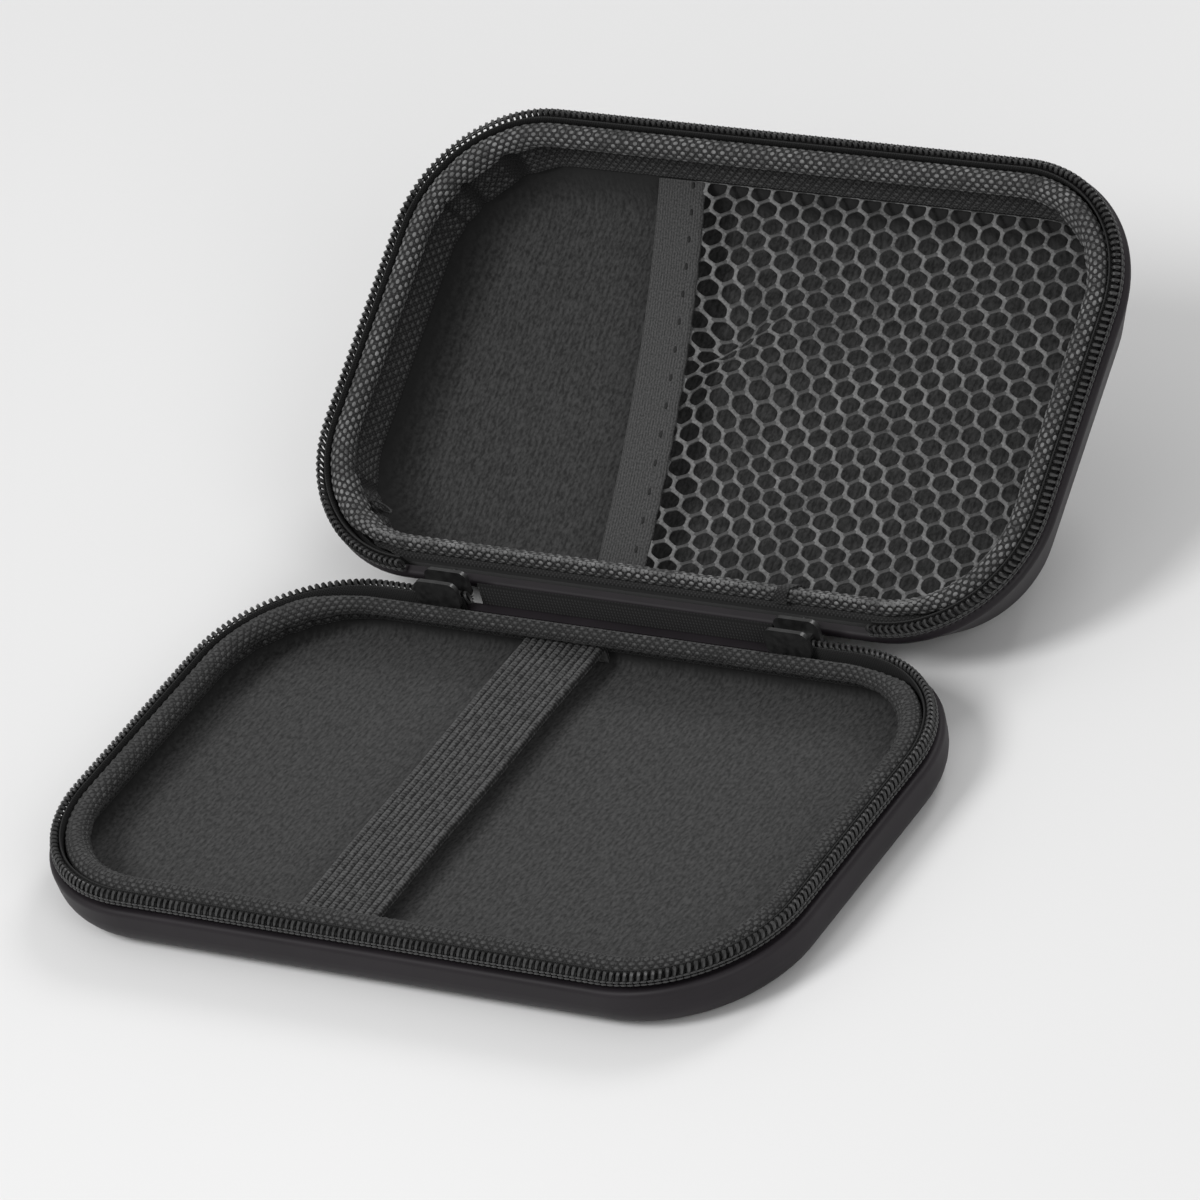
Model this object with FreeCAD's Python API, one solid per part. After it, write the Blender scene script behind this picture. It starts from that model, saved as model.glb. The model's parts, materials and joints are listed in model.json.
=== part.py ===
"""Zipped hard-shell carrying case for a handheld console, standing open on a table.

Two moulded foam shells, lined with cloth, are joined along the back by a cloth hinge and closed round
the other sides by a coil zip with two sliders. The base carries an elastic strap, the lid a net pocket.
Millimetres. X runs along the length, +Y to the hinge, +Z up. The origin is on the table, under the
middle of the base.

Both halves are drawn from sections in (u, w): u runs outwards from the line of the zip tape, and w runs
from the plane where the two zip halves meet into the half's own depth.
"""
import FreeCAD
import Part
import math
import os

from FreeCAD import Vector

# Overall sizes
CASE_LENGTH = 186.0
CASE_WIDTH = 112.0
CORNER_RADIUS = 33.0
BASE_HEIGHT = 15.0
LID_HEIGHT = 26.0

# Moulded shells
SHELL_WALL = 4.0
SHELL_FLOOR = 3.0
BASE_LEAN = math.radians(5.0)
LID_LEAN = math.radians(30.0)
BASE_EDGE_RADIUS = 7.0
LID_EDGE_RADIUS = 9.0
RIM_ROUND = 1.2
BASE_INSIDE_RADIUS = 4.0
LID_INSIDE_RADIUS = 8.0

# Cloth inside the shells
LINING_THICKNESS = 0.8
FIT = 0.05

# Zip: how far it stands past the shells, its tape, its coil and the room between the two coils
ZIP_REACH = 4.2
TAPE_THICKNESS = 0.6
TAPE_SEAT = 3.5
COIL_THICKNESS = 2.0
COIL_WIDTH = 3.0
COIL_ROUND = 0.8
COIL_HALF_GAP = 0.6
TAPE_EDGE = 0.9
BASE_ZIP_END = 39.0

# Binding tape round the inside of each rim: a rolled bead and a leg sewn flat to the wall
BEAD_WIDTH = 3.2
BEAD_HEIGHT = 4.5
BEAD_ROUND = 1.5
BEAD_TOP = 0.7
BEAD_OFFSET = 2.6
BEAD_SIDE_OFFSET = 0.7
BEAD_SIDE_TOP = 0.9
BEAD_SIDE_BOTTOM = 4.1
LEG_THICKNESS = 0.95
LEG_TOP = 4.4
BASE_LEG_BOTTOM = 8.0
LID_LEG_BOTTOM = 14.0
LEG_LAP = 0.9

# Cloth hinge along the back
HINGE_LENGTH = 75.0
HINGE_THICKNESS = 0.7
HINGE_LAP = 5.0

# Elastic strap across the base
STRAP_X = -12.0
STRAP_WIDTH = 20.0
STRAP_THICKNESS = 1.2
STRAP_RIBS = 10
STRAP_RIB_DEPTH = 0.3
STRAP_DROP = 0.4
STRAP_TAB = 4.4
STRAP_BEND = 2.0

# Net pocket in the lid, and the tape along its open edge
NET_THICKNESS = 0.8
NET_GAP = 0.1
NET_HOLE = 8.0
NET_PITCH = 10.2
BAND_WIDTH = 12.0
BAND_THICKNESS = 1.2
BAND_FRONT_X = -34.0
BAND_MIDDLE_X = -20.0
BAND_REAR_X = -13.5

# Zip sliders, parked at the ends of the zip, and their pulls
SLIDER_LENGTH = 11.0
SLIDER_WIDTH = 6.8
SLIDER_PLATE = 1.0
SLIDER_ROUND = 2.0
SLIDER_CLEARANCE = 0.3
WEDGE_LENGTH = 3.0
WEDGE_THICKNESS = 0.8
BAIL_LENGTH = 6.4
BAIL_WIDTH = 0.9
BAIL_BAR = 0.9
BAIL_RISE = 1.5
RING_RADIUS = 1.2
RING_WIRE = 0.35
PULL_LENGTH = 10.0
PULL_WIDTH = 4.6
PULL_THICKNESS = 1.0
PULL_HOLE = 1.0
NECK_WIDTH = 1.2
NECK_LENGTH = 1.0

# Places worked out from the sizes above
SHELL_IN = -(TAPE_THICKNESS / 2 + FIT)
SHELL_OUT = SHELL_IN + SHELL_WALL
HALF_LENGTH = CASE_LENGTH / 2 - SHELL_OUT
HALF_WIDTH = CASE_WIDTH / 2 - SHELL_OUT
RADIUS = CORNER_RADIUS - SHELL_OUT
FLAT_X = HALF_LENGTH - RADIUS
FLAT_Y = HALF_WIDTH - RADIUS
CENTRE_INSET = RADIUS * 0.7
LINING_OUT = SHELL_IN - FIT
LINING_IN = LINING_OUT - LINING_THICKNESS
COIL_IN = TAPE_THICKNESS / 2 + FIT
COIL_OUT = COIL_IN + COIL_THICKNESS
AXIS_U = SHELL_OUT + FIT + HINGE_THICKNESS / 2
AXIS_Y = HALF_WIDTH + AXIS_U
SLIDER_X = BASE_ZIP_END + SLIDER_LENGTH / 2
NET_TOP = LID_LEG_BOTTOM + NET_GAP

UP = Vector(0, 0, 1)


class Half:
    """One half of the case: its depth, its rounds, and how its walls lean in. Outside, a wall leans from
    the shell's rim; inside, it may stay upright as far as the foot of the zip tape."""

    def __init__(self, height, lean, inner_start, edge_radius, inside_radius, leg_bottom):
        self.height = height
        self.lean = lean
        self.inner_start = inner_start
        self.edge_radius = edge_radius
        self.inside_radius = inside_radius
        self.leg_bottom = leg_bottom

    def inner(self, u, w):
        """Where an inner wall that starts at u has got to at depth w."""
        return u - max(0.0, w - self.inner_start) * math.tan(self.lean)

    def outer(self, u, w):
        """Where an outer wall that starts at u has got to at depth w."""
        return u - max(0.0, w - ZIP_REACH) * math.tan(self.lean)

    def round_centre(self, u, start, w, radius, turn):
        """Centre of a round that touches the wall that leans from (u, start) and the level w. turn is 1
        where the round lies above the level (a floor) and -1 where it lies below it (a rim)."""
        centre_w = w - turn * radius
        centre_u = u - (radius + (centre_w - start) * math.sin(self.lean)) / math.cos(self.lean)
        return centre_u, centre_w


BASE = Half(BASE_HEIGHT, BASE_LEAN, ZIP_REACH, BASE_EDGE_RADIUS, BASE_INSIDE_RADIUS, BASE_LEG_BOTTOM)
LID = Half(LID_HEIGHT, LID_LEAN, ZIP_REACH + TAPE_SEAT + FIT, LID_EDGE_RADIUS, LID_INSIDE_RADIUS,
           LID_LEG_BOTTOM)


def on_round(centre, radius, angle):
    return centre[0] + radius * math.cos(angle), centre[1] + radius * math.sin(angle)


class Outline:
    """A closed outline in (u, w), drawn with lines and arcs."""

    def __init__(self, start):
        self.points = [start]
        self.steps = []

    def line(self, *points):
        for point in points:
            self.steps.append((self.points[-1], None, point))
            self.points.append(point)
        return self

    def arc(self, middle, end):
        self.steps.append((self.points[-1], middle, end))
        self.points.append(end)
        return self

    def face(self, origin, outward):
        """The outline as a face in space, standing on a point of the zip's line."""
        def place(point):
            return origin + outward * point[0] + UP * point[1]

        self_closing = self.steps + [(self.points[-1], None, self.points[0])]
        edges = []
        for start, middle, end in self_closing:
            first, last = place(start), place(end)
            if middle is not None:
                edges.append(Part.Arc(first, place(middle), last).toShape())
            elif first.distanceToPoint(last) > 1e-6:
                edges.append(Part.makeLine(first, last))
        return Part.Face(Part.Wire(edges))


def rounded_rectangle(u_low, u_high, w_low, w_high, radius):
    """A rectangle with rounded corners, as an outline."""
    def corner(u, w, angle):
        return on_round((u, w), radius, math.radians(angle))

    corners = [(u_high - radius, w_low + radius, -90), (u_high - radius, w_high - radius, 0),
               (u_low + radius, w_high - radius, 90), (u_low + radius, w_low + radius, 180)]
    outline = Outline(corner(*corners[0]))
    for u, w, angle in corners:
        outline.line(corner(u, w, angle))
        outline.arc(corner(u, w, angle + 45), corner(u, w, angle + 90))
    return outline


def fused(solids):
    return solids[0].multiFuse(solids[1:]).removeSplitter() if len(solids) > 1 else solids[0]


def ring(outline, rear_gap=0.0):
    """Sweeps an outline round the case. A rear gap leaves the middle of the back open."""
    solids = []
    for turn, centre in enumerate([(1, 1), (-1, 1), (-1, -1), (1, -1)]):
        axis = Vector(centre[0] * FLAT_X, centre[1] * FLAT_Y, 0)
        angle = turn * math.pi / 2
        outward = Vector(math.cos(angle), math.sin(angle), 0)
        face = outline.face(axis + outward * RADIUS, outward)
        solids.append(face.revolve(axis, UP, 90))
    spans = [(Vector(1, 0, 0), Vector(HALF_LENGTH, -FLAT_Y, 0), Vector(0, 2 * FLAT_Y, 0)),
             (Vector(-1, 0, 0), Vector(-HALF_LENGTH, -FLAT_Y, 0), Vector(0, 2 * FLAT_Y, 0)),
             (Vector(0, -1, 0), Vector(-FLAT_X, -HALF_WIDTH, 0), Vector(2 * FLAT_X, 0, 0))]
    rear = Vector(0, 1, 0)
    if rear_gap <= 0:
        spans.append((rear, Vector(-FLAT_X, HALF_WIDTH, 0), Vector(2 * FLAT_X, 0, 0)))
    elif rear_gap < FLAT_X:
        reach = Vector(FLAT_X - rear_gap, 0, 0)
        spans.append((rear, Vector(-FLAT_X, HALF_WIDTH, 0), reach))
        spans.append((rear, Vector(rear_gap, HALF_WIDTH, 0), reach))
    for outward, start, reach in spans:
        solids.append(outline.face(start, outward).extrude(reach))
    return fused(solids)


def plate(u, w_low, w_high):
    """A slab with the case's outline, set in or out by u."""
    slab = Part.makeBox(2 * (HALF_LENGTH + u), 2 * (HALF_WIDTH + u), w_high - w_low,
                        Vector(-HALF_LENGTH - u, -HALF_WIDTH - u, w_low))
    upright = [e for e in slab.Edges if abs(e.Vertexes[0].Z - e.Vertexes[1].Z) > 1e-6]
    return slab.makeFillet(RADIUS + u, upright)


def bowl(half, outer, inner, outer_floor, inner_floor, outer_radius, inner_radius, rim):
    """The section of an open bowl, from the edge of its flat floor to its rim. outer and inner are where
    its walls start to lean, as (u, w). rim draws the top edge, from the inner wall to the outer wall, on
    an outline that it is given."""
    outer = half.round_centre(*outer, outer_floor, outer_radius, 1)
    inner = half.round_centre(*inner, inner_floor, inner_radius, 1)
    middle = (half.lean + math.pi / 2) / 2
    outline = Outline((-CENTRE_INSET, outer_floor))
    outline.line((-CENTRE_INSET, inner_floor), on_round(inner, inner_radius, math.pi / 2))
    outline.arc(on_round(inner, inner_radius, middle), on_round(inner, inner_radius, half.lean))
    rim(outline)
    outline.line(on_round(outer, outer_radius, half.lean))
    outline.arc(on_round(outer, outer_radius, middle), on_round(outer, outer_radius, math.pi / 2))
    return outline


def floored(outline, w_low, w_high):
    """A bowl's swept section with the flat middle of its floor filled in."""
    return fused([ring(outline), plate(-CENTRE_INSET, w_low, w_high)])


def shell(half):
    """A moulded foam half, with a rebate inside its rim for the zip tape."""
    rebate_bottom = ZIP_REACH + TAPE_SEAT + FIT
    rebate_side = TAPE_THICKNESS / 2 + FIT
    rim_round = half.round_centre(SHELL_OUT, ZIP_REACH, ZIP_REACH, RIM_ROUND, -1)

    def rim(outline):
        outline.line((half.inner(SHELL_IN, rebate_bottom), rebate_bottom), (rebate_side, rebate_bottom))
        outline.line((rebate_side, ZIP_REACH), (rim_round[0], ZIP_REACH))
        outline.arc(on_round(rim_round, RIM_ROUND, (half.lean - math.pi / 2) / 2),
                    on_round(rim_round, RIM_ROUND, half.lean))

    floor = half.height - SHELL_FLOOR
    section = bowl(half, (SHELL_OUT, ZIP_REACH), (SHELL_IN, half.inner_start), half.height, floor,
                   half.edge_radius, half.inside_radius, rim)
    return floored(section, floor, half.height)


def lining(half):
    """The cloth bonded inside a half, up to the shell's rim."""
    start = half.inner_start

    def rim(outline):
        outline.line((LINING_IN, start), (LINING_IN, ZIP_REACH), (LINING_OUT, ZIP_REACH), (LINING_OUT, start))

    outer_floor = half.height - SHELL_FLOOR - FIT
    inner_floor = outer_floor - LINING_THICKNESS
    section = bowl(half, (LINING_OUT, start), (LINING_IN, start), outer_floor, inner_floor,
                   half.inside_radius, half.inside_radius - LINING_THICKNESS, rim)
    return floored(section, inner_floor, outer_floor)


def binding(half):
    """The tape that binds a rim: its rolled bead, and its leg down the lining. The bead leaves room for the
    sliders along the back, and reaches out to the zip tape round the sides and the front."""
    bead_out = -BEAD_OFFSET
    bead_bottom = BEAD_TOP + BEAD_HEIGHT
    bead = rounded_rectangle(bead_out - BEAD_WIDTH, bead_out, BEAD_TOP, bead_bottom, BEAD_ROUND)
    side = rounded_rectangle(bead_out - LEG_LAP, -BEAD_SIDE_OFFSET, BEAD_SIDE_TOP, BEAD_SIDE_BOTTOM,
                             BEAD_ROUND - 0.3)
    leg_out = LINING_IN - FIT
    leg_in = leg_out - LEG_THICKNESS
    shoulder = bead_bottom + LEG_THICKNESS / 2
    bend = max(shoulder, half.inner_start)
    leg = Outline((half.inner(leg_out, LEG_TOP), LEG_TOP))
    leg.line((bead_out - LEG_LAP, LEG_TOP), (bead_out - LEG_LAP, bead_bottom),
             (half.inner(leg_in, shoulder), shoulder), (half.inner(leg_in, bend), bend),
             (half.inner(leg_in, half.leg_bottom), half.leg_bottom),
             (half.inner(leg_out, half.leg_bottom), half.leg_bottom), (half.inner(leg_out, bend), bend))
    return fused([ring(bead), ring(side, FLAT_X), ring(leg)])


def zip_tape(rear_gap):
    """The woven tape that carries a coil, seated in the shell's rebate."""
    half = TAPE_THICKNESS / 2
    tape = Outline((-half, TAPE_EDGE))
    tape.line((half, TAPE_EDGE), (half, ZIP_REACH + TAPE_SEAT), (-half, ZIP_REACH + TAPE_SEAT))
    return ring(tape, rear_gap)


def zip_coil(rear_gap):
    """A coil's outer form, on the outside of its tape."""
    return ring(rounded_rectangle(COIL_IN, COIL_OUT, COIL_HALF_GAP, COIL_HALF_GAP + COIL_WIDTH,
                                  COIL_ROUND), rear_gap)


def strap():
    """The elastic band from the front wall to the rear wall, its ends turned down and sewn to the
    binding's leg, and its upper face ribbed along its length."""
    tab_out = BASE.inner(LINING_IN - FIT - LEG_THICKNESS, BASE_LEG_BOTTOM) - 2 * FIT
    half_span = HALF_WIDTH + tab_out
    top = BEAD_TOP + BEAD_HEIGHT + STRAP_DROP
    bottom = top + STRAP_TAB
    inner_bend = STRAP_BEND - STRAP_THICKNESS
    tab_in = half_span - STRAP_THICKNESS
    side = Outline((-half_span, bottom))

    def bend(sign, radius, reach, level, rising):
        centre = (sign * (reach - radius), level + radius)
        start, end = (0, 90) if rising else (90, 0)
        turned = [(centre[0] + sign * radius * math.cos(math.radians(a)),
                   centre[1] - radius * math.sin(math.radians(a))) for a in (start, 45, end)]
        side.line(turned[0]).arc(turned[1], turned[2])

    bend(-1, STRAP_BEND, half_span, top, True)
    bend(1, STRAP_BEND, half_span, top, False)
    side.line((half_span, bottom), (tab_in, bottom))
    bend(1, inner_bend, tab_in, top + STRAP_THICKNESS, True)
    bend(-1, inner_bend, tab_in, top + STRAP_THICKNESS, False)
    side.line((-tab_in, bottom))
    band = side.face(Vector(STRAP_X - STRAP_WIDTH / 2, 0, 0), Vector(0, 1, 0))
    band = band.extrude(Vector(STRAP_WIDTH, 0, 0))
    pitch = STRAP_WIDTH / STRAP_RIBS
    flat = half_span - STRAP_BEND
    grooves = []
    for rib in range(1, STRAP_RIBS):
        middle = STRAP_X - STRAP_WIDTH / 2 + rib * pitch
        groove = Outline((middle - pitch / 4, top))
        groove.line((middle + pitch / 4, top), (middle, top + STRAP_RIB_DEPTH))
        face = groove.face(Vector(0, -flat, 0), Vector(1, 0, 0))
        grooves.append(face.extrude(Vector(0, 2 * flat, 0)))
    return band.cut(Part.makeCompound(grooves))


def band_edge(offset):
    """The pocket's open edge in plan, bowed by the pull of the net, moved along X by offset."""
    return Part.Arc(Vector(BAND_FRONT_X + offset, -HALF_WIDTH, 0), Vector(BAND_MIDDLE_X + offset, 0, 0),
                    Vector(BAND_REAR_X + offset, HALF_WIDTH, 0))


def between_edges(first, second, w_low, w_high):
    """A slab in the lid, between two curves that run from its front to its back."""
    start, end = first.toShape(), second.toShape()
    sides = [Part.makeLine(first.StartPoint, second.StartPoint),
             Part.makeLine(first.EndPoint, second.EndPoint)]
    face = Part.Face(Part.Wire(Part.__sortEdges__([start, end] + sides)))
    face.translate(UP * w_low)
    return face.extrude(UP * (w_high - w_low))


def pocket_room(w_low, w_high):
    """The lid's inside at the level of the net, clear of the lining."""
    return plate(LID.inner(LINING_IN, w_high) - 2 * FIT, w_low, w_high)


def pocket_band():
    """The woven tape sewn along the net's open edge, from the front wall to the rear wall."""
    middle = NET_TOP + NET_THICKNESS / 2
    low, high = middle - BAND_THICKNESS / 2 + NET_GAP, middle + BAND_THICKNESS / 2 + NET_GAP
    slab = between_edges(band_edge(-BAND_WIDTH / 2), band_edge(BAND_WIDTH / 2), low, high)
    return slab.common(pocket_room(low, high))


def pocket_net():
    """The open net between the tape and the lid's right-hand end, with a honeycomb of holes."""
    low, high = NET_TOP, NET_TOP + NET_THICKNESS
    right_end = Part.LineSegment(Vector(HALF_LENGTH, -HALF_WIDTH, 0), Vector(HALF_LENGTH, HALF_WIDTH, 0))
    sheet = between_edges(band_edge(BAND_WIDTH / 2 + FIT), right_end, low, high)
    sheet = sheet.common(pocket_room(low, high))
    rim = NET_HOLE / 2 + NET_THICKNESS
    inside = between_edges(band_edge(BAND_WIDTH / 2 + FIT + rim), right_end, low, high)
    inside = inside.common(plate(LID.inner(LINING_IN, high) - 2 * FIT - rim, low, high))
    row_step = NET_PITCH * math.sqrt(3) / 2
    first_x = BAND_FRONT_X + BAND_WIDTH / 2 + rim
    rows = int(2 * HALF_WIDTH / row_step)
    columns = int((HALF_LENGTH - first_x) / NET_PITCH) + 1
    holes = []
    for row in range(rows):
        y = (row - (rows - 1) / 2) * row_step
        for column in range(columns):
            x = first_x + (column + 0.5 * (row % 2)) * NET_PITCH
            centre = Vector(x, y, low)
            if not inside.isInside(centre + UP * NET_THICKNESS / 2, 1e-6, True):
                continue
            corners = [centre + Vector(math.sin(a), math.cos(a), 0) * NET_HOLE / math.sqrt(3)
                       for a in (math.radians(60 * k) for k in range(7))]
            hexagon = Part.Face(Part.makePolygon(corners))
            holes.append(hexagon.extrude(UP * NET_THICKNESS))
    return sheet.cut(Part.makeCompound(holes))


def hinge_leaf(half):
    """Half of the cloth hinge, from the fold on the hinge's axis to its sewn end on a shell's back."""
    near = SHELL_OUT + FIT
    far = near + HINGE_THICKNESS
    end = ZIP_REACH + HINGE_LAP
    leaf = Outline((near, 0))
    leaf.line((near, ZIP_REACH), (half.outer(near, end), end), (half.outer(far, end), end), (far, ZIP_REACH))
    leaf.line((far, 0))
    face = leaf.face(Vector(-HINGE_LENGTH / 2, HALF_WIDTH, 0), Vector(0, 1, 0))
    return face.extrude(Vector(HINGE_LENGTH, 0, 0))


def slider(sign):
    """A zip slider round the coils at the back: two plates, the wedge between them, and the bail."""
    centre = sign * SLIDER_X
    inner_face = -(TAPE_THICKNESS / 2 + SLIDER_CLEARANCE)
    outer_face = COIL_OUT + SLIDER_CLEARANCE

    def block(length, u_low, u_high, width, x):
        return Part.makeBox(length, u_high - u_low, width,
                            Vector(x - length / 2, HALF_WIDTH + u_low, -width / 2))

    def face_plate(u_low, u_high):
        body = block(SLIDER_LENGTH, u_low, u_high, SLIDER_WIDTH, centre)
        across = [e for e in body.Edges if abs(e.Vertexes[0].Y - e.Vertexes[1].Y) > 1e-6]
        return body.makeFillet(SLIDER_ROUND, across)

    wedge_x = centre + sign * (SLIDER_LENGTH / 2 - WEDGE_LENGTH)
    wedge = block(WEDGE_LENGTH, inner_face, outer_face, WEDGE_THICKNESS, wedge_x)
    plate_top = outer_face + SLIDER_PLATE
    arch = block(BAIL_LENGTH, plate_top, plate_top + BAIL_RISE + BAIL_BAR, BAIL_WIDTH, centre)
    window = block(BAIL_LENGTH - 2 * BAIL_BAR, plate_top, plate_top + BAIL_RISE, BAIL_WIDTH, centre)
    return fused([face_plate(inner_face - SLIDER_PLATE, inner_face),
                  face_plate(outer_face, plate_top), wedge, arch.cut(window)])


def pull(sign):
    """A pull hanging from a slider's bail: a wire ring round the bail's bar, a neck, and a flat tab
    with round ends, so that it can sway without meeting the bar."""
    bar_u = COIL_OUT + SLIDER_CLEARANCE + SLIDER_PLATE + BAIL_RISE + BAIL_BAR / 2
    middle = Vector(sign * SLIDER_X, HALF_WIDTH + bar_u, 0)
    ring_solid = Part.makeTorus(RING_RADIUS, RING_WIRE, middle, Vector(1, 0, 0))
    top = -(RING_RADIUS + RING_WIRE)

    def flat(width, low, high):
        return Part.makeBox(width, PULL_THICKNESS, high - low,
                            middle + Vector(-width / 2, -PULL_THICKNESS / 2, low))

    tab = flat(PULL_WIDTH, top - PULL_LENGTH, top)
    across = [e for e in tab.Edges if abs(e.Vertexes[0].Y - e.Vertexes[1].Y) > 1e-6]
    tab = tab.makeFillet(PULL_WIDTH * 0.45, across)
    hole_at = middle + Vector(0, -PULL_THICKNESS, top - PULL_LENGTH + PULL_WIDTH / 2)
    hole = Part.makeCylinder(PULL_HOLE, 2 * PULL_THICKNESS, hole_at, Vector(0, 1, 0))
    neck = flat(NECK_WIDTH, -RING_RADIUS - NECK_LENGTH, -RING_RADIUS)
    return fused([ring_solid, neck, tab.cut(hole)])


def opening_angle():
    """How far the lid swings back before its rear edge rests on the table, in degrees."""
    centre = LID.round_centre(SHELL_OUT, ZIP_REACH, LID_HEIGHT, LID_EDGE_RADIUS, 1)
    back, rise = AXIS_U - centre[0], centre[1]
    reach = math.hypot(back, rise)
    return math.degrees(math.atan2(back, rise) + math.acos((LID_EDGE_RADIUS - BASE_HEIGHT) / reach))


def in_base(shape):
    """Turns a half's own frame over, so that it stands on the table."""
    turned = shape.mirror(Vector(0, 0, 0), UP)
    turned.translate(UP * BASE_HEIGHT)
    return turned


def in_open_lid(shape):
    """Sets a half's own frame on the base and swings it back on the hinge."""
    turned = shape.copy()
    turned.translate(UP * BASE_HEIGHT)
    turned.rotate(Vector(0, AXIS_Y, BASE_HEIGHT), Vector(1, 0, 0), -opening_angle())
    return turned


def lifted(shape):
    """Moves a piece drawn about the meeting plane up to the zip's own height."""
    moved = shape.copy()
    moved.translate(UP * BASE_HEIGHT)
    return moved


def hinge_cloth():
    """The folded cloth: one leaf on each shell's back, and the fold between them."""
    fold = Part.makeCylinder(HINGE_THICKNESS / 2, HINGE_LENGTH,
                             Vector(-HINGE_LENGTH / 2, AXIS_Y, BASE_HEIGHT), Vector(1, 0, 0))
    return fused([in_base(hinge_leaf(BASE)), in_open_lid(hinge_leaf(LID)), fold])


def build():
    pieces = {
        "base_shell": in_base(shell(BASE)),
        "base_lining": in_base(lining(BASE)),
        "base_binding": in_base(binding(BASE)),
        "base_zip_tape": in_base(zip_tape(BASE_ZIP_END)),
        "base_zip_coil": in_base(zip_coil(BASE_ZIP_END)),
        "holding_strap": in_base(strap()),
        "lid_shell": in_open_lid(shell(LID)),
        "lid_lining": in_open_lid(lining(LID)),
        "lid_binding": in_open_lid(binding(LID)),
        "lid_zip_tape": in_open_lid(zip_tape(FLAT_X)),
        "lid_zip_coil": in_open_lid(zip_coil(FLAT_X)),
        "pocket_net": in_open_lid(pocket_net()),
        "pocket_band": in_open_lid(pocket_band()),
        "hinge_cloth": hinge_cloth(),
    }
    for side, sign in (("left", -1), ("right", 1)):
        pieces[side + "_slider"] = lifted(slider(sign))
        pieces[side + "_pull"] = lifted(pull(sign))
    return pieces


os.makedirs("parts", exist_ok=True)
for name, piece in build().items():
    piece.exportStep(os.path.join("parts", name + ".step"))
    print(name, "solids", len(piece.Solids), "valid", piece.isValid(), "volume", round(piece.Volume, 1))
print("hinge axis y", round(AXIS_Y, 3), "z", BASE_HEIGHT, "lid open by", round(opening_angle(), 3))
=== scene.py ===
# %% [markdown]
# # A zipped carrying case, standing open
#
# The case is two moulded foam halves joined by a cloth hinge. Round the inside of each rim runs a woven
# binding, and outside it a coil zip. An elastic strap crosses the base, and the lid holds a net pocket.
# The solids carry the sizes and the motion, so this lesson only dresses them: cloth, thread, nylon and
# metal, each with a shape and a finish of its own.

import bisect
import bmesh
import bpy
import json
import math

from mathutils import Matrix, Vector


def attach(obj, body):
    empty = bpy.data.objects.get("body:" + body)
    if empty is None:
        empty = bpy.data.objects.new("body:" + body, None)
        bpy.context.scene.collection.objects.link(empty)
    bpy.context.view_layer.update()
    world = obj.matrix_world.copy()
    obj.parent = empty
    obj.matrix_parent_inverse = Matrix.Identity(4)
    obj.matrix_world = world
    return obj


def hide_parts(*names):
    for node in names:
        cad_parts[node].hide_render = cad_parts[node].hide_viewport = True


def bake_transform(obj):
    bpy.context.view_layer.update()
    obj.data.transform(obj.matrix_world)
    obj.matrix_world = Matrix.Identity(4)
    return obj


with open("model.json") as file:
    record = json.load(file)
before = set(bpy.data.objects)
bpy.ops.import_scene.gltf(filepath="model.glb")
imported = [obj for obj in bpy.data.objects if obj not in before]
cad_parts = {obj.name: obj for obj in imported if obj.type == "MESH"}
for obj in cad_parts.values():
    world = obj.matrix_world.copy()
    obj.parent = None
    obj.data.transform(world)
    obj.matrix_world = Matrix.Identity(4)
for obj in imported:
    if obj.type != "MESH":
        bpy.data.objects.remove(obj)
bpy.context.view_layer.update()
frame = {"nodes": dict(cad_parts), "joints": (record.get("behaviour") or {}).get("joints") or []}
nodes = frame["nodes"]
MM = 0.001

# %% [markdown]
# ## The case's own ruler
#
# Every strip on this case follows the same rounded rectangle, so it helps to measure in three numbers
# only: where on that line a point is, how far out from it (u), and how deep into its half (w). One matrix
# then stands the base on the table, and another swings the lid back on its hinge.

# %% The line of the zip tape, and the two halves
HALF_LENGTH = 89.35
HALF_WIDTH = 52.35
CORNER = 29.35
RUN_X = HALF_LENGTH - CORNER
RUN_Y = HALF_WIDTH - CORNER
BASE_HEIGHT = 15.0
LID_HEIGHT = 26.0
SHELL_RIM = 4.2
LEAN = {"base": math.radians(5.0), "lid": math.radians(30.0)}
LEAN_START = {"base": SHELL_RIM, "lid": 7.75}
LID_OPEN = math.radians(150.873)
RUN_STEP = 4.0
SHORTEST_RUN = 0.01
CORNER_STEPS = 24

hinge = next(joint for joint in frame["joints"] if joint["name"] == "lid_hinge")
hinge_point = Vector(hinge["pos_m"])
closed_lid = Matrix.Translation((0, 0, BASE_HEIGHT * MM)) @ Matrix.Scale(MM, 4)
swing = (Matrix.Translation(hinge_point) @ Matrix.Rotation(-LID_OPEN, 4, "X")
         @ Matrix.Translation(-hinge_point))
HALVES = {"base": closed_lid @ Matrix.Scale(-1, 4, (0, 0, 1)), "lid": swing @ closed_lid}


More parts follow.
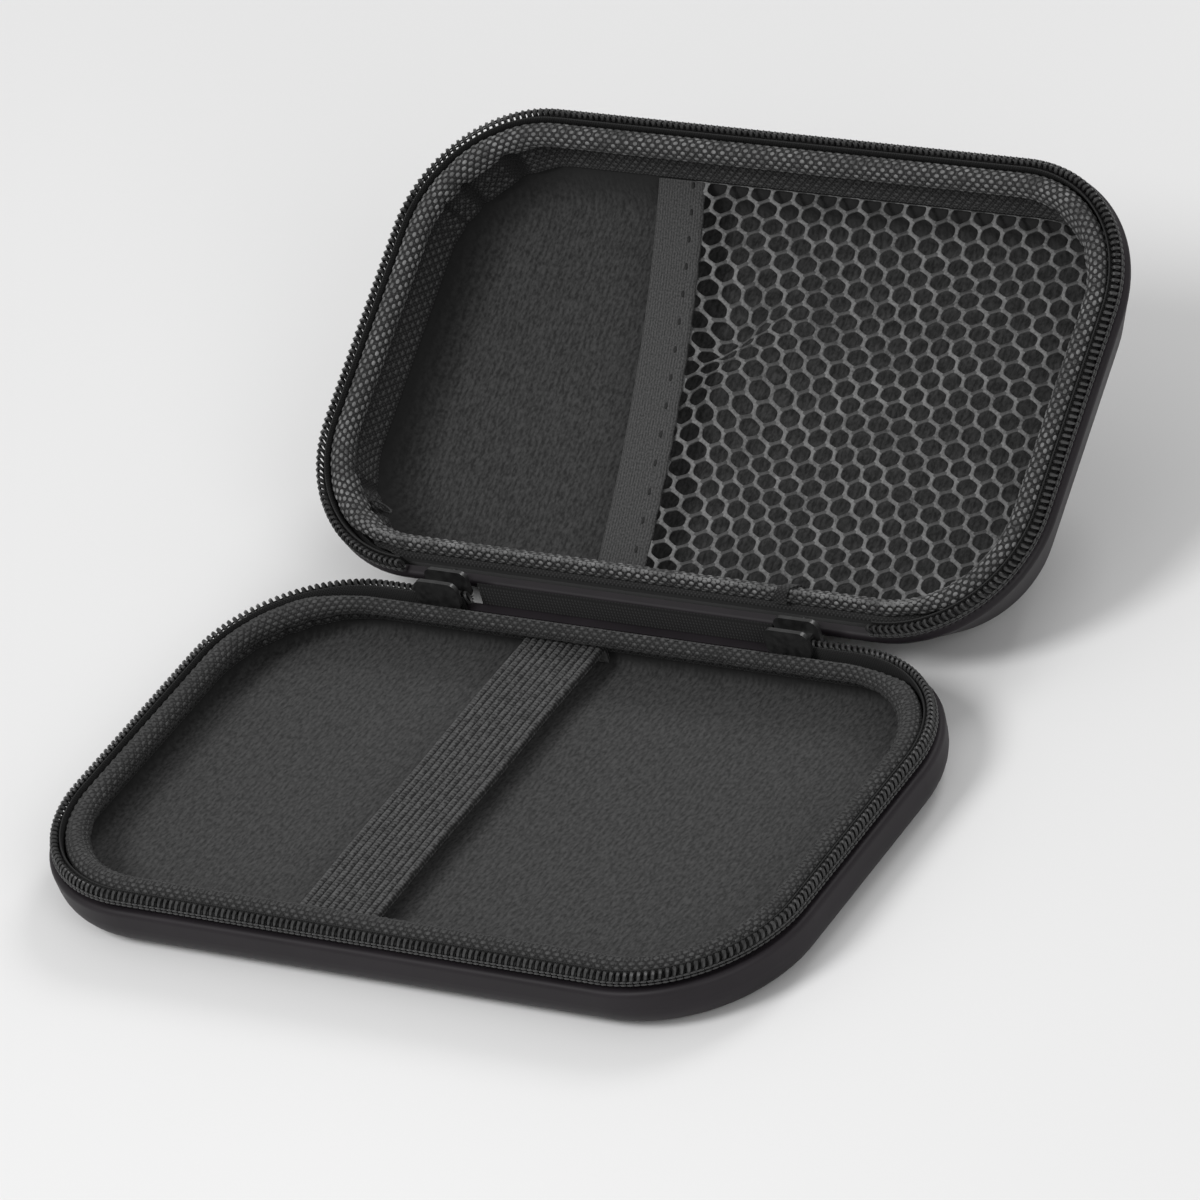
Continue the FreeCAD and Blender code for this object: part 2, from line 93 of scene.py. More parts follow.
def stations(rear_gap=0.0):
    """Points of the line with their outward directions, from the middle of the back round to the right,
    the front and the left. A rear gap leaves the middle of the back open."""
    def run(start, end, outward):
        steps = max(1, round((Vector(end) - Vector(start)).length / RUN_STEP))
        for step in range(steps):
            yield Vector(start).lerp(Vector(end), step / steps), Vector(outward)

    def corner(x, y, start):
        for step in range(CORNER_STEPS):
            angle = math.radians(start - 90 * step / CORNER_STEPS)
            outward = Vector((math.cos(angle), math.sin(angle)))
            yield Vector((x, y)) + outward * CORNER, outward

    gap = min(rear_gap, RUN_X - SHORTEST_RUN)
    line = [*run((gap, HALF_WIDTH), (RUN_X, HALF_WIDTH), (0, 1)),
            *corner(RUN_X, RUN_Y, 90),
            *run((HALF_LENGTH, RUN_Y), (HALF_LENGTH, -RUN_Y), (1, 0)),
            *corner(RUN_X, -RUN_Y, 0),
            *run((RUN_X, -HALF_WIDTH), (-RUN_X, -HALF_WIDTH), (0, -1)),
            *corner(-RUN_X, -RUN_Y, -90),
            *run((-HALF_LENGTH, -RUN_Y), (-HALF_LENGTH, RUN_Y), (-1, 0)),
            *corner(-RUN_X, RUN_Y, 180),
            *run((-RUN_X, HALF_WIDTH), (-gap, HALF_WIDTH), (0, 1))]
    if rear_gap > 0:
        line.append((Vector((-gap, HALF_WIDTH)), Vector((0, 1))))
    return line


def at(half, station, u, w):
    """A point on the finished case, in metres: beside a station by u, and w deep in that half."""
    point, outward = station
    flat = point + outward * u
    return HALVES[half] @ Vector((flat.x, flat.y, w))


def inner(half, u, w):
    """Where an inner wall that starts at u has got to at depth w, as it leans in."""
    return u - max(0.0, w - LEAN_START[half]) * math.tan(LEAN[half])


def outer(half, u, w):
    """The same for an outer wall, which leans from the shell's rim."""
    return u - max(0.0, w - SHELL_RIM) * math.tan(LEAN[half])


ring_stations = stations()
line_ways = [0.0]
for here, following in zip(ring_stations, ring_stations[1:] + ring_stations[:1]):
    line_ways.append(line_ways[-1] + (following[0] - here[0]).length)
LINE_LENGTH = line_ways.pop()


def station_at(way):
    """The station at any way along the closed line."""
    number = bisect.bisect_right(line_ways, way % LINE_LENGTH) - 1
    here, following = ring_stations[number], ring_stations[(number + 1) % len(ring_stations)]
    share = (way % LINE_LENGTH - line_ways[number]) / (following[0] - here[0]).length
    return here[0].lerp(following[0], share), here[1].lerp(following[1], share).normalized()


print("stations on the line", len(ring_stations), "length", round(LINE_LENGTH, 1), "mm")

# %% [markdown]
# ## Making and finishing a piece
#
# A swept strip is a grid: one row of points for each station, joined to the next row. Doing it in mesh
# code rather than with a curve bevel keeps the strip's own UV map, in metres, so a weave can follow it
# round the corners.

# %% Helpers for meshes and pieces
def mesh_of(builder, name):
    """The mesh that a bmesh builder has made. The builder is freed."""
    mesh = bpy.data.meshes.new(name)
    builder.to_mesh(mesh)
    builder.free()
    return mesh


def smoothed(mesh):
    """The same mesh, with smooth shading on all its faces."""
    mesh.polygons.foreach_set("use_smooth", [True] * len(mesh.polygons))
    return mesh


def evaluated_mesh(carrier, name):
    """What a carrier's modifiers make of it, as a plain mesh. The carrier is removed."""
    bpy.context.view_layer.update()
    evaluated = carrier.evaluated_get(bpy.context.evaluated_depsgraph_get())
    mesh = bpy.data.meshes.new_from_object(evaluated)
    mesh.name = name
    bpy.data.objects.remove(carrier)
    return mesh


def finished(obj, body, slot_name, smooth_angle=40.0):
    """Smooth shading, and the piece attached to its body."""
    smoothed(obj.data).set_sharp_from_angle(angle=math.radians(smooth_angle))
    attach(obj, body)
    return obj


def made(name, mesh, material=None):
    """An object with this mesh, linked to the scene."""
    obj = bpy.data.objects.new(name, mesh)
    bpy.context.scene.collection.objects.link(obj)
    if material is not None:
        mesh.materials.clear()
        mesh.materials.append(material)
    return obj


print("helpers", [helper.__name__ for helper in (mesh_of, smoothed, evaluated_mesh, finished, made)])

# %% Helpers for swept strips
CUT_SHARE = 0.25


def swept(name, rows, closed_line, closed_section):
    """A mesh from rows of points, one row for each station, with a UV map in metres."""
    builder = bmesh.new()
    uv_layer = builder.loops.layers.uv.new("strip")
    across = len(rows[0])
    grid = [[builder.verts.new(point) for point in row] for row in rows]
    along = [0.0]
    for row, following in zip(rows, rows[1:] + rows[:1]):
        along.append(along[-1] + sum((a - b).length for a, b in zip(row, following)) / across)
    girth = [0.0]
    for first, second in zip(rows[0], rows[0][1:] + rows[0][:1]):
        girth.append(girth[-1] + (first - second).length)
    last_row = len(rows) if closed_line else len(rows) - 1
    last_point = across if closed_section else across - 1
    for row in range(last_row):
        for point in range(last_point):
            corners = [(row, point), (row + 1, point), (row + 1, point + 1), (row, point + 1)]
            face = builder.faces.new([grid[r % len(rows)][p % across] for r, p in corners])
            for loop, (r, p) in zip(face.loops, corners):
                loop[uv_layer].uv = (along[r], girth[p])
    if closed_section and not closed_line:
        builder.faces.new(grid[0])
        builder.faces.new(grid[-1])
    bmesh.ops.recalc_face_normals(builder, faces=builder.faces)
    return mesh_of(builder, name)


def softened(points, rounds):
    """A closed outline with its corners cut, a little rounder each time."""
    for _ in range(rounds):
        cut = []
        for first, second in zip(points, points[1:] + points[:1]):
            cut.append(tuple(a + (b - a) * CUT_SHARE for a, b in zip(first, second)))
            cut.append(tuple(b + (a - b) * CUT_SHARE for a, b in zip(first, second)))
        points = cut
    return points


def section_rows(half, section, line):
    """The same section at each station of a line, as rows for swept()."""
    return [[at(half, station, u, w) for u, w in section] for station in line]


print("a square softened once has", len(softened([(0, 0), (1, 0), (1, 1), (0, 1)], 1)), "points")

# %% [markdown]
# ## Repeating a shape along a line
#
# Zip teeth, stitches and woven dots all do the same thing: one small shape, repeated at an even pitch
# along a line, standing on a surface. That is what Geometry Nodes are for. The tree below takes a mesh of
# plain edges whose points carry a vector called "out", turns it into curves, spaces points along them and
# puts the shape on each point, with its X along the line and its Z along "out". Woven rows have to keep in
# step round the corners, so a line can also be drawn with a point for each shape and used as it is.

# %% The tree that repeats a shape
def repeat_tree():
    """The node tree, with a named input for each thing that differs from row to row."""
    tree = bpy.data.node_groups.new("repeat_along_line", "GeometryNodeTree")
    for socket, kind in (("Lines", "Geometry"), ("Pitch", "Float"), ("Drawn", "Bool"), ("Shape", "Object"),
                         ("Size", "Vector"), ("Finish", "Material")):
        tree.interface.new_socket(socket, in_out="INPUT", socket_type="NodeSocket" + kind)
    tree.interface.new_socket("Result", in_out="OUTPUT", socket_type="NodeSocketGeometry")
    new = tree.nodes.new
    given = new("NodeGroupInput")
    curves = new("GeometryNodeMeshToCurve")
    spaced = new("GeometryNodeResampleCurve")
    spaced.mode = "LENGTH"
    chosen = new("GeometryNodeSwitch")
    chosen.input_type = "GEOMETRY"
    tangent = new("GeometryNodeInputTangent")
    outward = new("GeometryNodeInputNamedAttribute")
    outward.data_type = "FLOAT_VECTOR"
    outward.inputs["Name"].default_value = "out"
    face_along = new("FunctionNodeAlignRotationToVector")
    face_along.axis = "X"
    face_out = new("FunctionNodeAlignRotationToVector")
    face_out.axis = "Z"
    face_out.pivot_axis = "X"
    shape = new("GeometryNodeObjectInfo")
    placed = new("GeometryNodeInstanceOnPoints")
    real = new("GeometryNodeRealizeInstances")
    painted = new("GeometryNodeSetMaterial")
    result = new("NodeGroupOutput")
    for source, output, target, socket in (
            (given, "Lines", curves, "Mesh"), (curves, "Curve", spaced, "Curve"),
            (given, "Pitch", spaced, "Length"), (given, "Drawn", chosen, "Switch"),
            (spaced, "Curve", chosen, "False"), (curves, "Curve", chosen, "True"),
            (tangent, "Tangent", face_along, "Vector"), (face_along, "Rotation", face_out, "Rotation"),
            (outward, "Attribute", face_out, "Vector"), (given, "Shape", shape, "Object"),
            (chosen, "Output", placed, "Points"), (shape, "Geometry", placed, "Instance"),
            (face_out, "Rotation", placed, "Rotation"), (given, "Size", placed, "Scale"),
            (placed, "Instances", real, "Geometry"), (real, "Geometry", painted, "Geometry"),
            (given, "Finish", painted, "Material"), (painted, "Geometry", result, "Result")):
        tree.links.new(source.outputs[output], target.inputs[socket])
    return tree


REPEAT = repeat_tree()
REPEAT_INPUTS = {item.name: item.identifier for item in REPEAT.interface.items_tree if item.in_out == "INPUT"}
print("tree inputs", sorted(REPEAT_INPUTS))

# %% Helpers that use the tree
def repeated(name, lines, shape_mesh, pitch, size, material):
    """A mesh with a small shape repeated along lines. Each line is (points, outs, closed). Without a pitch
    there is one shape on each of its points."""
    vertices, edges, outs = [], [], []
    for points, directions, closed in lines:
        start = len(vertices)
        vertices += points
        outs += directions
        edges += [(start + k, start + k + 1) for k in range(len(points) - 1)]
        if closed:
            edges.append((start + len(points) - 1, start))
    path = bpy.data.meshes.new(name + "_lines")
    path.from_pydata(vertices, edges, [])
    attribute = path.attributes.new("out", "FLOAT_VECTOR", "POINT")
    attribute.data.foreach_set("vector", [value for out in outs for value in out])
    carrier = made(name + "_carrier", path)
    shape = made(name + "_shape", shape_mesh)
    modifier = carrier.modifiers.new("repeat", "NODES")
    modifier.node_group = REPEAT
    modifier[REPEAT_INPUTS["Pitch"]] = (pitch or 1.0) * MM
    modifier[REPEAT_INPUTS["Drawn"]] = pitch is None
    modifier[REPEAT_INPUTS["Shape"]] = shape
    modifier[REPEAT_INPUTS["Size"]] = [value * MM for value in size]
    modifier[REPEAT_INPUTS["Finish"]] = material
    mesh = evaluated_mesh(carrier, name)
    bpy.data.objects.remove(shape)
    return mesh


def joined(name, meshes):
    """Several meshes as one, each keeping its own materials."""
    builder = bmesh.new()
    materials = []
    for mesh in meshes:
        offset = len(materials)
        first_face = len(builder.faces)
        builder.from_mesh(mesh)
        builder.faces.ensure_lookup_table()
        for face in builder.faces[first_face:]:
            face.material_index += offset
        materials += list(mesh.materials)
    result = mesh_of(builder, name)
    for material in materials:
        result.materials.append(material)
    return result


def leaning_out(half, station, lean):
    """A direction at a station that leans by (outwards, deeper)."""
    outward = station[1] * lean[0]
    return (HALVES[half].to_3x3() @ Vector((outward.x, outward.y, lean[1]))).normalized()


def rim_line(half, u, w, lean, line):
    """An open line along the rim for repeated()."""
    return [at(half, s, u, w) for s in line], [leaning_out(half, s, lean) for s in line], False


def lump(name, rings=3, segments=6):
    """A rounded lump a unit long, wide and high, lying along X: a stitch or a woven dot."""
    builder = bmesh.new()
    bmesh.ops.create_uvsphere(builder, u_segments=segments, v_segments=rings + 1, radius=0.5,
                              matrix=Matrix.Rotation(math.pi / 2, 4, "Y"))
    return smoothed(mesh_of(builder, name))


print("helpers", [helper.__name__ for helper in (repeated, joined, leaning_out, rim_line, lump)])

# %% [markdown]
# ## Finishes
#
# All the colours here are close to black, so what tells the materials apart is how they take the light:
# the skin is smooth and dull, the knit has streaks, the tapes have a weave, the nylon has a small shine.
# Each finish gets its own pattern, in millimetres, on Object coordinates, or on the strip's UV map where
# the pattern has to follow the strip.

# %% Helpers for node materials
class Finish:
    """A material under construction: a Principled shader and a few short ways to feed it."""

    def __init__(self, name, colour, roughness, **settings):
        self.material = bpy.data.materials.new(name)
        self.material.use_nodes = True
        self.tree = self.material.node_tree
        self.shader = self.tree.nodes["Principled BSDF"]
        self.shader.inputs["Base Color"].default_value = (*colour, 1)
        self.shader.inputs["Roughness"].default_value = roughness
        for socket, value in settings.items():
            self.shader.inputs[socket.replace("_", " ")].default_value = value

    def node(self, kind, links=None, **settings):
        """A new node, with its properties or unlinked inputs set and some inputs linked."""
        node = self.tree.nodes.new(kind)
        for key, value in settings.items():
            if key in node.bl_rna.properties.keys():
                setattr(node, key, value)
            else:
                node.inputs[key.replace("_", " ")].default_value = value
        for socket, source in (links or {}).items():
            self.tree.links.new(source, node.inputs[socket])
        return node

    def place(self, scale, turn=0.0, strip=False):
        """Coordinates in units of scale millimetres, on the object or along its strip."""
        source = self.node("ShaderNodeTexCoord").outputs["UV" if strip else "Object"]
        mapping = self.node("ShaderNodeMapping", {"Vector": source})
        size = scale if isinstance(scale, tuple) else (scale,) * 3
        mapping.inputs["Scale"].default_value = [1 / (value * MM) for value in size]
        mapping.inputs["Rotation"].default_value = (0, 0, turn)
        return mapping.outputs["Vector"]

    def noise(self, where, detail=2.0):
        """Soft random patches about one unit of their coordinates across."""
        return self.node("ShaderNodeTexNoise", {"Vector": where}, Scale=1.0, Detail=detail).outputs["Fac"]

    def wave(self, where, direction, distortion=0.0):
        """A ripple that repeats once each unit of its coordinates."""
        wave = self.node("ShaderNodeTexWave", {"Vector": where}, wave_type="BANDS",
                         bands_direction=direction, wave_profile="SIN", Distortion=distortion)
        wave.inputs["Scale"].default_value = math.pi / 10
        return wave.outputs["Fac"]

    def math(self, operation, *values):
        """One sum, of numbers or of other nodes' outputs."""
        node = self.node("ShaderNodeMath", operation=operation)
        for socket, value in zip(node.inputs, values):
            if isinstance(value, (int, float)):
                socket.default_value = value
            else:
                self.tree.links.new(value, socket)
        return node.outputs[0]

    def shades(self, factor, dark, light, low, high):
        """The colour runs from dark to light as factor goes from low to high."""
        ramp = self.node("ShaderNodeValToRGB", {"Fac": factor})
        ramp.color_ramp.elements[0].position = low
        ramp.color_ramp.elements[0].color = (*dark, 1)
        ramp.color_ramp.elements[1].position = high
        ramp.color_ramp.elements[1].color = (*light, 1)
        self.tree.links.new(ramp.outputs["Color"], self.shader.inputs["Base Color"])
        return ramp

    def rough(self, factor, low, high):
        """The roughness runs from low to high with factor."""
        spread = self.node("ShaderNodeMapRange", {"Value": factor})
        spread.inputs["To Min"].default_value = low
        spread.inputs["To Max"].default_value = high
        self.tree.links.new(spread.outputs["Result"], self.shader.inputs["Roughness"])

    def relief(self, height, depth, strength):
        """Bump of a depth in millimetres."""
        bump = self.node("ShaderNodeBump", {"Height": height}, Strength=strength)
        bump.inputs["Distance"].default_value = depth * MM
        self.tree.links.new(bump.outputs["Normal"], self.shader.inputs["Normal"])


def grey(value, warm=0.0):
    """A near-neutral grey, a little towards plum where warm is above zero."""
    return value * (1 + warm), value, value * (1 + 0.9 * warm)


def dressed(names, finish):
    """A finish on solids that keep their own shape."""
    for name in names:
        nodes[name].data.materials.clear()
        nodes[name].data.materials.append(finish.material)
    print(finish.material.name, "on", ", ".join(names))


print("a warm grey", [round(value, 4) for value in grey(0.011, 0.22)])

# %% The moulded skin
skin = Finish("moulded_skin", grey(0.011, 0.22), 0.52, Specular_IOR_Level=0.24)
skin_clouds = skin.noise(skin.place(14.0), 3.0)
skin.shades(skin_clouds, grey(0.009, 0.22), grey(0.0135, 0.24), 0.3, 0.7)
skin_grain = skin.noise(skin.place(0.45), 2.0)
skin.rough(skin_clouds, 0.46, 0.6)
skin.relief(skin_grain, 0.03, 0.5)
dressed(("base_shell", "lid_shell"), skin)

# %% [markdown]
# ## Sliders and pulls
#
# The two zip sliders are small die castings with a dark enamel. Their solids already have the right shape,
# so they keep it and only get their finish: black, with a soft shine and a little unevenness in it.

# %% Dark enamel on the sliders and pulls
enamel = Finish("dark_enamel", grey(0.016), 0.34, Coat_Weight=0.25, Coat_Roughness=0.2)
enamel_spots = enamel.noise(enamel.place(1.6), 3.0)
enamel.shades(enamel_spots, grey(0.011), grey(0.024), 0.35, 0.7)
enamel.rough(enamel_spots, 0.3, 0.44)
enamel.relief(enamel.noise(enamel.place(0.5)), 0.02, 0.4)
dressed(("left_slider", "right_slider", "left_pull", "right_pull"), enamel)

# %% [markdown]
# ## Linings
#
# A knit cloth is bonded to the inside of each half before the foam is moulded, so it follows the bowl
# without a fold. A cloth simulation would only blur that. The lining is swept as a wall, a round and a
# floor that closes on the bowl's middle line, and Solidify gives it thickness towards the foam. The wall
# and the round get a flat dark grey as painted shade, so the knit's speckle and streaks show mostly on the
# floor.

# %% The bowl of a lining
LINING_FACE = -1.2
LINING_FLOOR = 3.85
LINING_THICK = 0.7
LINING_TOP = SHELL_RIM + 0.1
ROUND_STEPS = 8
FLOOR_STEPS = 10
WELD = 1e-6
SPINE = HALF_LENGTH - HALF_WIDTH
# Height of the half, radius at the floor, length of the wall, and flat size in metres
LININGS = {"base": (BASE_HEIGHT, 3.2, 8.4, (0.120, 0.194)), "lid": (LID_HEIGHT, 7.2, 23.5, (0.132, 0.206))}


def lining_rows(half, height, radius):
    """Rows from the rim down the wall, round to the floor, and in to the bowl's middle line."""
    floor = height - LINING_FLOOR
    lean, start = LEAN[half], LEAN_START[half]
    w = floor - radius
    u = LINING_FACE - (radius + (w - start) * math.sin(lean)) / math.cos(lean)
    angles = [lean + (math.pi / 2 - lean) * k / ROUND_STEPS for k in range(ROUND_STEPS + 1)]
    wall = [(u + radius * math.cos(a), w + radius * math.sin(a)) for a in angles]
    bend = max(start, LINING_TOP)
    steps = [LINING_TOP]
    if start > LINING_TOP:
        steps = [LINING_TOP + (start - LINING_TOP) * k / 3 for k in range(3)]
    steps += [bend + (wall[0][1] - bend) * k / 4 for k in range(4)]
    section = [(inner(half, LINING_FACE, w), w) for w in steps] + wall
    rows = []
    for station in ring_stations:
        row = [at(half, station, u, w) for u, w in section]
        edge = station[0] + station[1] * section[-1][0]
        spine = Vector((max(-SPINE, min(SPINE, edge.x)), 0))
        for k in range(1, FLOOR_STEPS + 1):
            flat = edge.lerp(spine, k / FLOOR_STEPS)
            row.append(HALVES[half] @ Vector((flat.x, flat.y, floor)))
        rows.append(row)
    return rows


def thickened(name, mesh, thickness, offset, levels=0):
    """A sheet given its thickness, and subdivided where levels is above zero, as a plain mesh."""
    carrier = made(name + "_sheet", mesh)
    solid = carrier.modifiers.new("thickness", "SOLIDIFY")
    solid.thickness = thickness * MM
    solid.offset = offset
    if levels:
        smooth = carrier.modifiers.new("smooth", "SUBSURF")
        smooth.levels = smooth.render_levels = levels
    return evaluated_mesh(carrier, name)


def welded(mesh, towards):
    """Doubles merged, and all faces turned to the side that a point is on."""
    builder = bmesh.new()
    builder.from_mesh(mesh)
    bmesh.ops.remove_doubles(builder, verts=builder.verts, dist=WELD)
    bmesh.ops.dissolve_degenerate(builder, edges=builder.edges, dist=WELD)
    bmesh.ops.recalc_face_normals(builder, faces=builder.faces)
    votes = sum(face.normal.dot(towards - face.calc_center_median()) * face.calc_area()
                for face in builder.faces)
    if votes < 0:
        bmesh.ops.reverse_faces(builder, faces=builder.faces)
    builder.to_mesh(mesh)
    builder.free()
    return mesh


for half, (height, radius, wall, flat) in LININGS.items():
    print(half, "bowl,", len(lining_rows(half, height, radius)[0]), "points in each row")

# %% Knit cloth, with painted shade on the wall and streaks on the floor
WALL_SHADE_FADES, WALL_SHADE_ENDS = 0.4, 1.05


def knit_cloth(half, wall):
    """The strip's V is the way from the rim, and past the wall's length it is the floor; the wall gets
    painted shade.
    """
    knit = Finish(half + "_lining_knit", grey(0.02), 0.85, Specular_IOR_Level=0.2, Sheen_Weight=0.15,
                  Sheen_Roughness=0.5)
    strip = knit.node("ShaderNodeSeparateXYZ", {"Vector": knit.place(1.0, strip=True)})
    floor = knit.node("ShaderNodeMapRange", {"Value": strip.outputs["Y"]}, interpolation_type="SMOOTHSTEP")
    floor.inputs["From Min"].default_value = wall * WALL_SHADE_FADES
    floor.inputs["From Max"].default_value = wall * WALL_SHADE_ENDS
    flecks = knit.noise(knit.place((0.6, 0.9, 0.9)), 2.0)
    streaks = knit.noise(knit.place((0.8, 1.9, 1.9)), 1.0)
    wales = knit.wave(knit.place(1.6), "X", 1.2)
    fine = knit.math("MULTIPLY_ADD", flecks, 0.6, knit.math("MULTIPLY", streaks, 0.33))
    fine = knit.math("MULTIPLY_ADD", wales, 0.07, fine)
    ramp = knit.shades(fine, grey(0.014), grey(0.05), 0.36, 0.64)
    # Painted shade: a flat dark grey on the wall and the round, giving way to the streaked knit on the floor.
    wall_shade_mix = knit.node("ShaderNodeMix", {"Factor": floor.outputs["Result"]}, data_type="RGBA")
    dark, streaked = (socket for socket in wall_shade_mix.inputs if socket.name in "AB" and socket.type == "RGBA")
    dark.default_value = (*grey(0.009), 1)
    knit.tree.links.new(ramp.outputs["Color"], streaked)
    shown = next(socket for socket in wall_shade_mix.outputs if socket.type == "RGBA")
    knit.tree.links.new(shown, knit.shader.inputs["Base Color"])
    knit.rough(flecks, 0.75, 0.95)
    knit.relief(knit.math("MULTIPLY", fine, floor.outputs["Result"]), 0.3, 0.7)
    return knit.material


print("the knit shows from", WALL_SHADE_FADES, "to", WALL_SHADE_ENDS, "of the wall's length")

# %% A lining in each half
OPENING_SIDE = Vector((0, 0, -200))
for half, (height, radius, wall, flat) in LININGS.items():
    name = half + "_lining_cloth"
    sheet = welded(swept(name, lining_rows(half, height, radius), True, False), HALVES[half] @ OPENING_SIDE)
    cloth = made(name, thickened(name, sheet, LINING_THICK, -1.0), knit_cloth(half, wall))
    finished(cloth, half, "lining_cloth", smooth_angle=60)
    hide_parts(half + "_lining")
    print(name, len(cloth.data.polygons), "faces")

# %% [markdown]
# ## Zip tapes
#
# Each coil is sewn to a woven tape, and the tape is glued between the foam and the lining. Only its edge
# and the part under the coil show, so a flat strip with soft edges is enough, with a herringbone weave
# that follows the strip's own UV map round the corners.

# %% Woven tape under the coils
weave = Finish("zip_tape_weave", grey(0.013), 0.8, Specular_IOR_Level=0.25)
weave_up = weave.wave(weave.place(0.5, math.radians(35), strip=True), "X")
weave_down = weave.wave(weave.place(0.5, math.radians(-35), strip=True), "X")
weave_mix = weave.math("MAXIMUM", weave_up, weave_down)
weave.shades(weave_mix, grey(0.006), grey(0.022), 0.2, 0.9)
weave.rough(weave.noise(weave.place((0.55, 0.9, 1.0), strip=True)), 0.7, 0.9)
weave.relief(weave_mix, 0.12, 0.7)
BASE_ZIP_GAP = 39.0
zip_lines = {"base": stations(BASE_ZIP_GAP), "lid": stations(RUN_X)}
TAPE_SECTION = softened([(-0.3, 0.95), (0.3, 0.95), (0.3, 4.0), (0.3, 7.65), (-0.3, 7.65), (-0.3, 4.0)], 1)
for half, line in zip_lines.items():
    name = half + "_tape_strip"
    strip = made(name, swept(name, section_rows(half, TAPE_SECTION, line), False, True), weave.material)
    finished(strip, half, "zip_tape")
    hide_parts(half + "_zip_tape")
    print(name, len(strip.data.polygons), "faces")

# %% [markdown]
# ## Zip coils
#
# A coil is one nylon thread wound into flat, slanting turns, each with a thicker head that locks with its
# neighbours across the gap. One turn is enough: it is drawn as a closed, leaning loop, and the tree above
# repeats it every one and a half millimetres. A chain of stitches holds the turns down on the tape.

# %% One turn of a coil, and the nylon
TURN_PITCH = 1.48
TURN_REACH = 1.32
TURN_RISE = 0.62
TURN_LEAN = 0.34
NYLON_RADIUS = 0.36
HEAD_EXTRA = 0.12
AROUND, RING = 10, 5


def coil_turn(name, side):
    """A leaning loop of nylon. Y runs from the head to the root for side 1, the other way for -1."""
    builder = bmesh.new()
    spread = Vector((1.0, -0.3 * side, 0)).normalized()
    rows = []
    for k in range(AROUND):
        angle = 2 * math.pi * k / AROUND
        y, z = -TURN_REACH * math.cos(angle), TURN_RISE * math.sin(angle)
        centre = Vector((TURN_LEAN * y, side * y, z))
        thick = NYLON_RADIUS + HEAD_EXTRA * max(0.0, math.cos(angle)) ** 2
        away = Vector((0, side * y / TURN_REACH ** 2, z / TURN_RISE ** 2)).normalized()
        rows.append([builder.verts.new(centre + spread * thick * math.cos(2 * math.pi * m / RING)
                                       + away * thick * math.sin(2 * math.pi * m / RING))
                     for m in range(RING)])
    for k in range(AROUND):
        following = rows[(k + 1) % AROUND]
        for m in range(RING):
            builder.faces.new([rows[k][m], following[m], following[(m + 1) % RING], rows[k][(m + 1) % RING]])
    bmesh.ops.recalc_face_normals(builder, faces=builder.faces)
    return smoothed(mesh_of(builder, name))


nylon = Finish("coil_nylon", grey(0.03), 0.3, Specular_IOR_Level=0.5)
nylon_dust = nylon.noise(nylon.place(2.5), 3.0)
nylon.shades(nylon_dust, grey(0.017), grey(0.044), 0.3, 0.75)
nylon.rough(nylon_dust, 0.24, 0.4)
nylon.relief(nylon.noise(nylon.place(0.3)), 0.02, 0.4)
thread = Finish("sewing_thread", grey(0.03), 0.7, Sheen_Weight=0.2)
thread_twist = thread.noise(thread.place(0.25), 2.0)
thread.shades(thread_twist, grey(0.012), grey(0.034), 0.3, 0.7)
thread.rough(thread_twist, 0.6, 0.8)
thread.relief(thread_twist, 0.05, 0.6)
print("one turn for every", TURN_PITCH, "mm,", 2 * round(TURN_REACH + NYLON_RADIUS, 2), "mm deep")

# %% Turns and stitches round both rims
COIL_U, COIL_DEPTH = 1.38, 2.0
CHAIN_U, CHAIN_DEPTHS = 2.38, (2.2, 2.9)
CHAIN_STITCH = (1.5, 0.5, 0.4)
for half, side in (("base", 1), ("lid", -1)):
    line = zip_lines[half]
    turns = repeated(half + "_turns", [rim_line(half, COIL_U, COIL_DEPTH, (1, 0), line)],
                     coil_turn("turn_shape", side), TURN_PITCH, (1, 1, 1), nylon.material)
    chain = [rim_line(half, CHAIN_U, depth, (1, 0), line) for depth in CHAIN_DEPTHS]
    sewn = repeated(half + "_chain", chain, lump("stitch_shape"), TURN_PITCH, CHAIN_STITCH, thread.material)
    name = half + "_coil"
    coil = made(name, joined(name, [turns, sewn]))
    finished(coil, half, "zip_coil", smooth_angle=60)
    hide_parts(half + "_zip_coil")
    print(name, len(coil.data.polygons), "faces")

# %% [markdown]
# ## Binding tapes
#
# The raw edges of lining, foam and zip tape are hidden by a woven tape that is rolled over them and sewn
# down. From inside it shows a rounded bead, a dark valley, and the edge of a flat leg. Its outline changes
# on the way round: along the back the bead leaves room for the sliders, and in the corners, where a straight
# tape has too much length on its inner side, it is gathered into small tucks, whose creases get painted
# shade.
# The floats of the weave stand up from the dark ground and catch the light, so they are real lumps; on the
# lid's bead they are also painted lighter, a painted highlight. Each row has the same number of places for
# them, and every second row starts half a step later, which keeps the diamond pattern all the way round. A
# float that would lie deep in a tuck is left out.

# %% The tape's outline anywhere on the line
BEAD_SIDE = -0.75
BEAD_REAR = -2.65
LEG_OUT = -1.27
LEG_IN = -2.2
BINDINGS = {"base": 8.0, "lid": 14.0}
GATHERS = {"base": 0.35, "lid": 1.0}
CREASE_PITCH = 9.5
CREASE_DRIFT = 6.3
PUFF = 1.9
DIP = 0.5
GATHER_START, GATHER_REACH = 2.2, 3.5
REAR_START, REAR_REACH = 0.82, 0.16
LEG_DEEP = 11.0
BEAD_MIDDLE = 2.5


def clamped(value):
    """The value, but not below 0 or above 1."""
    return min(1.0, max(0.0, value))


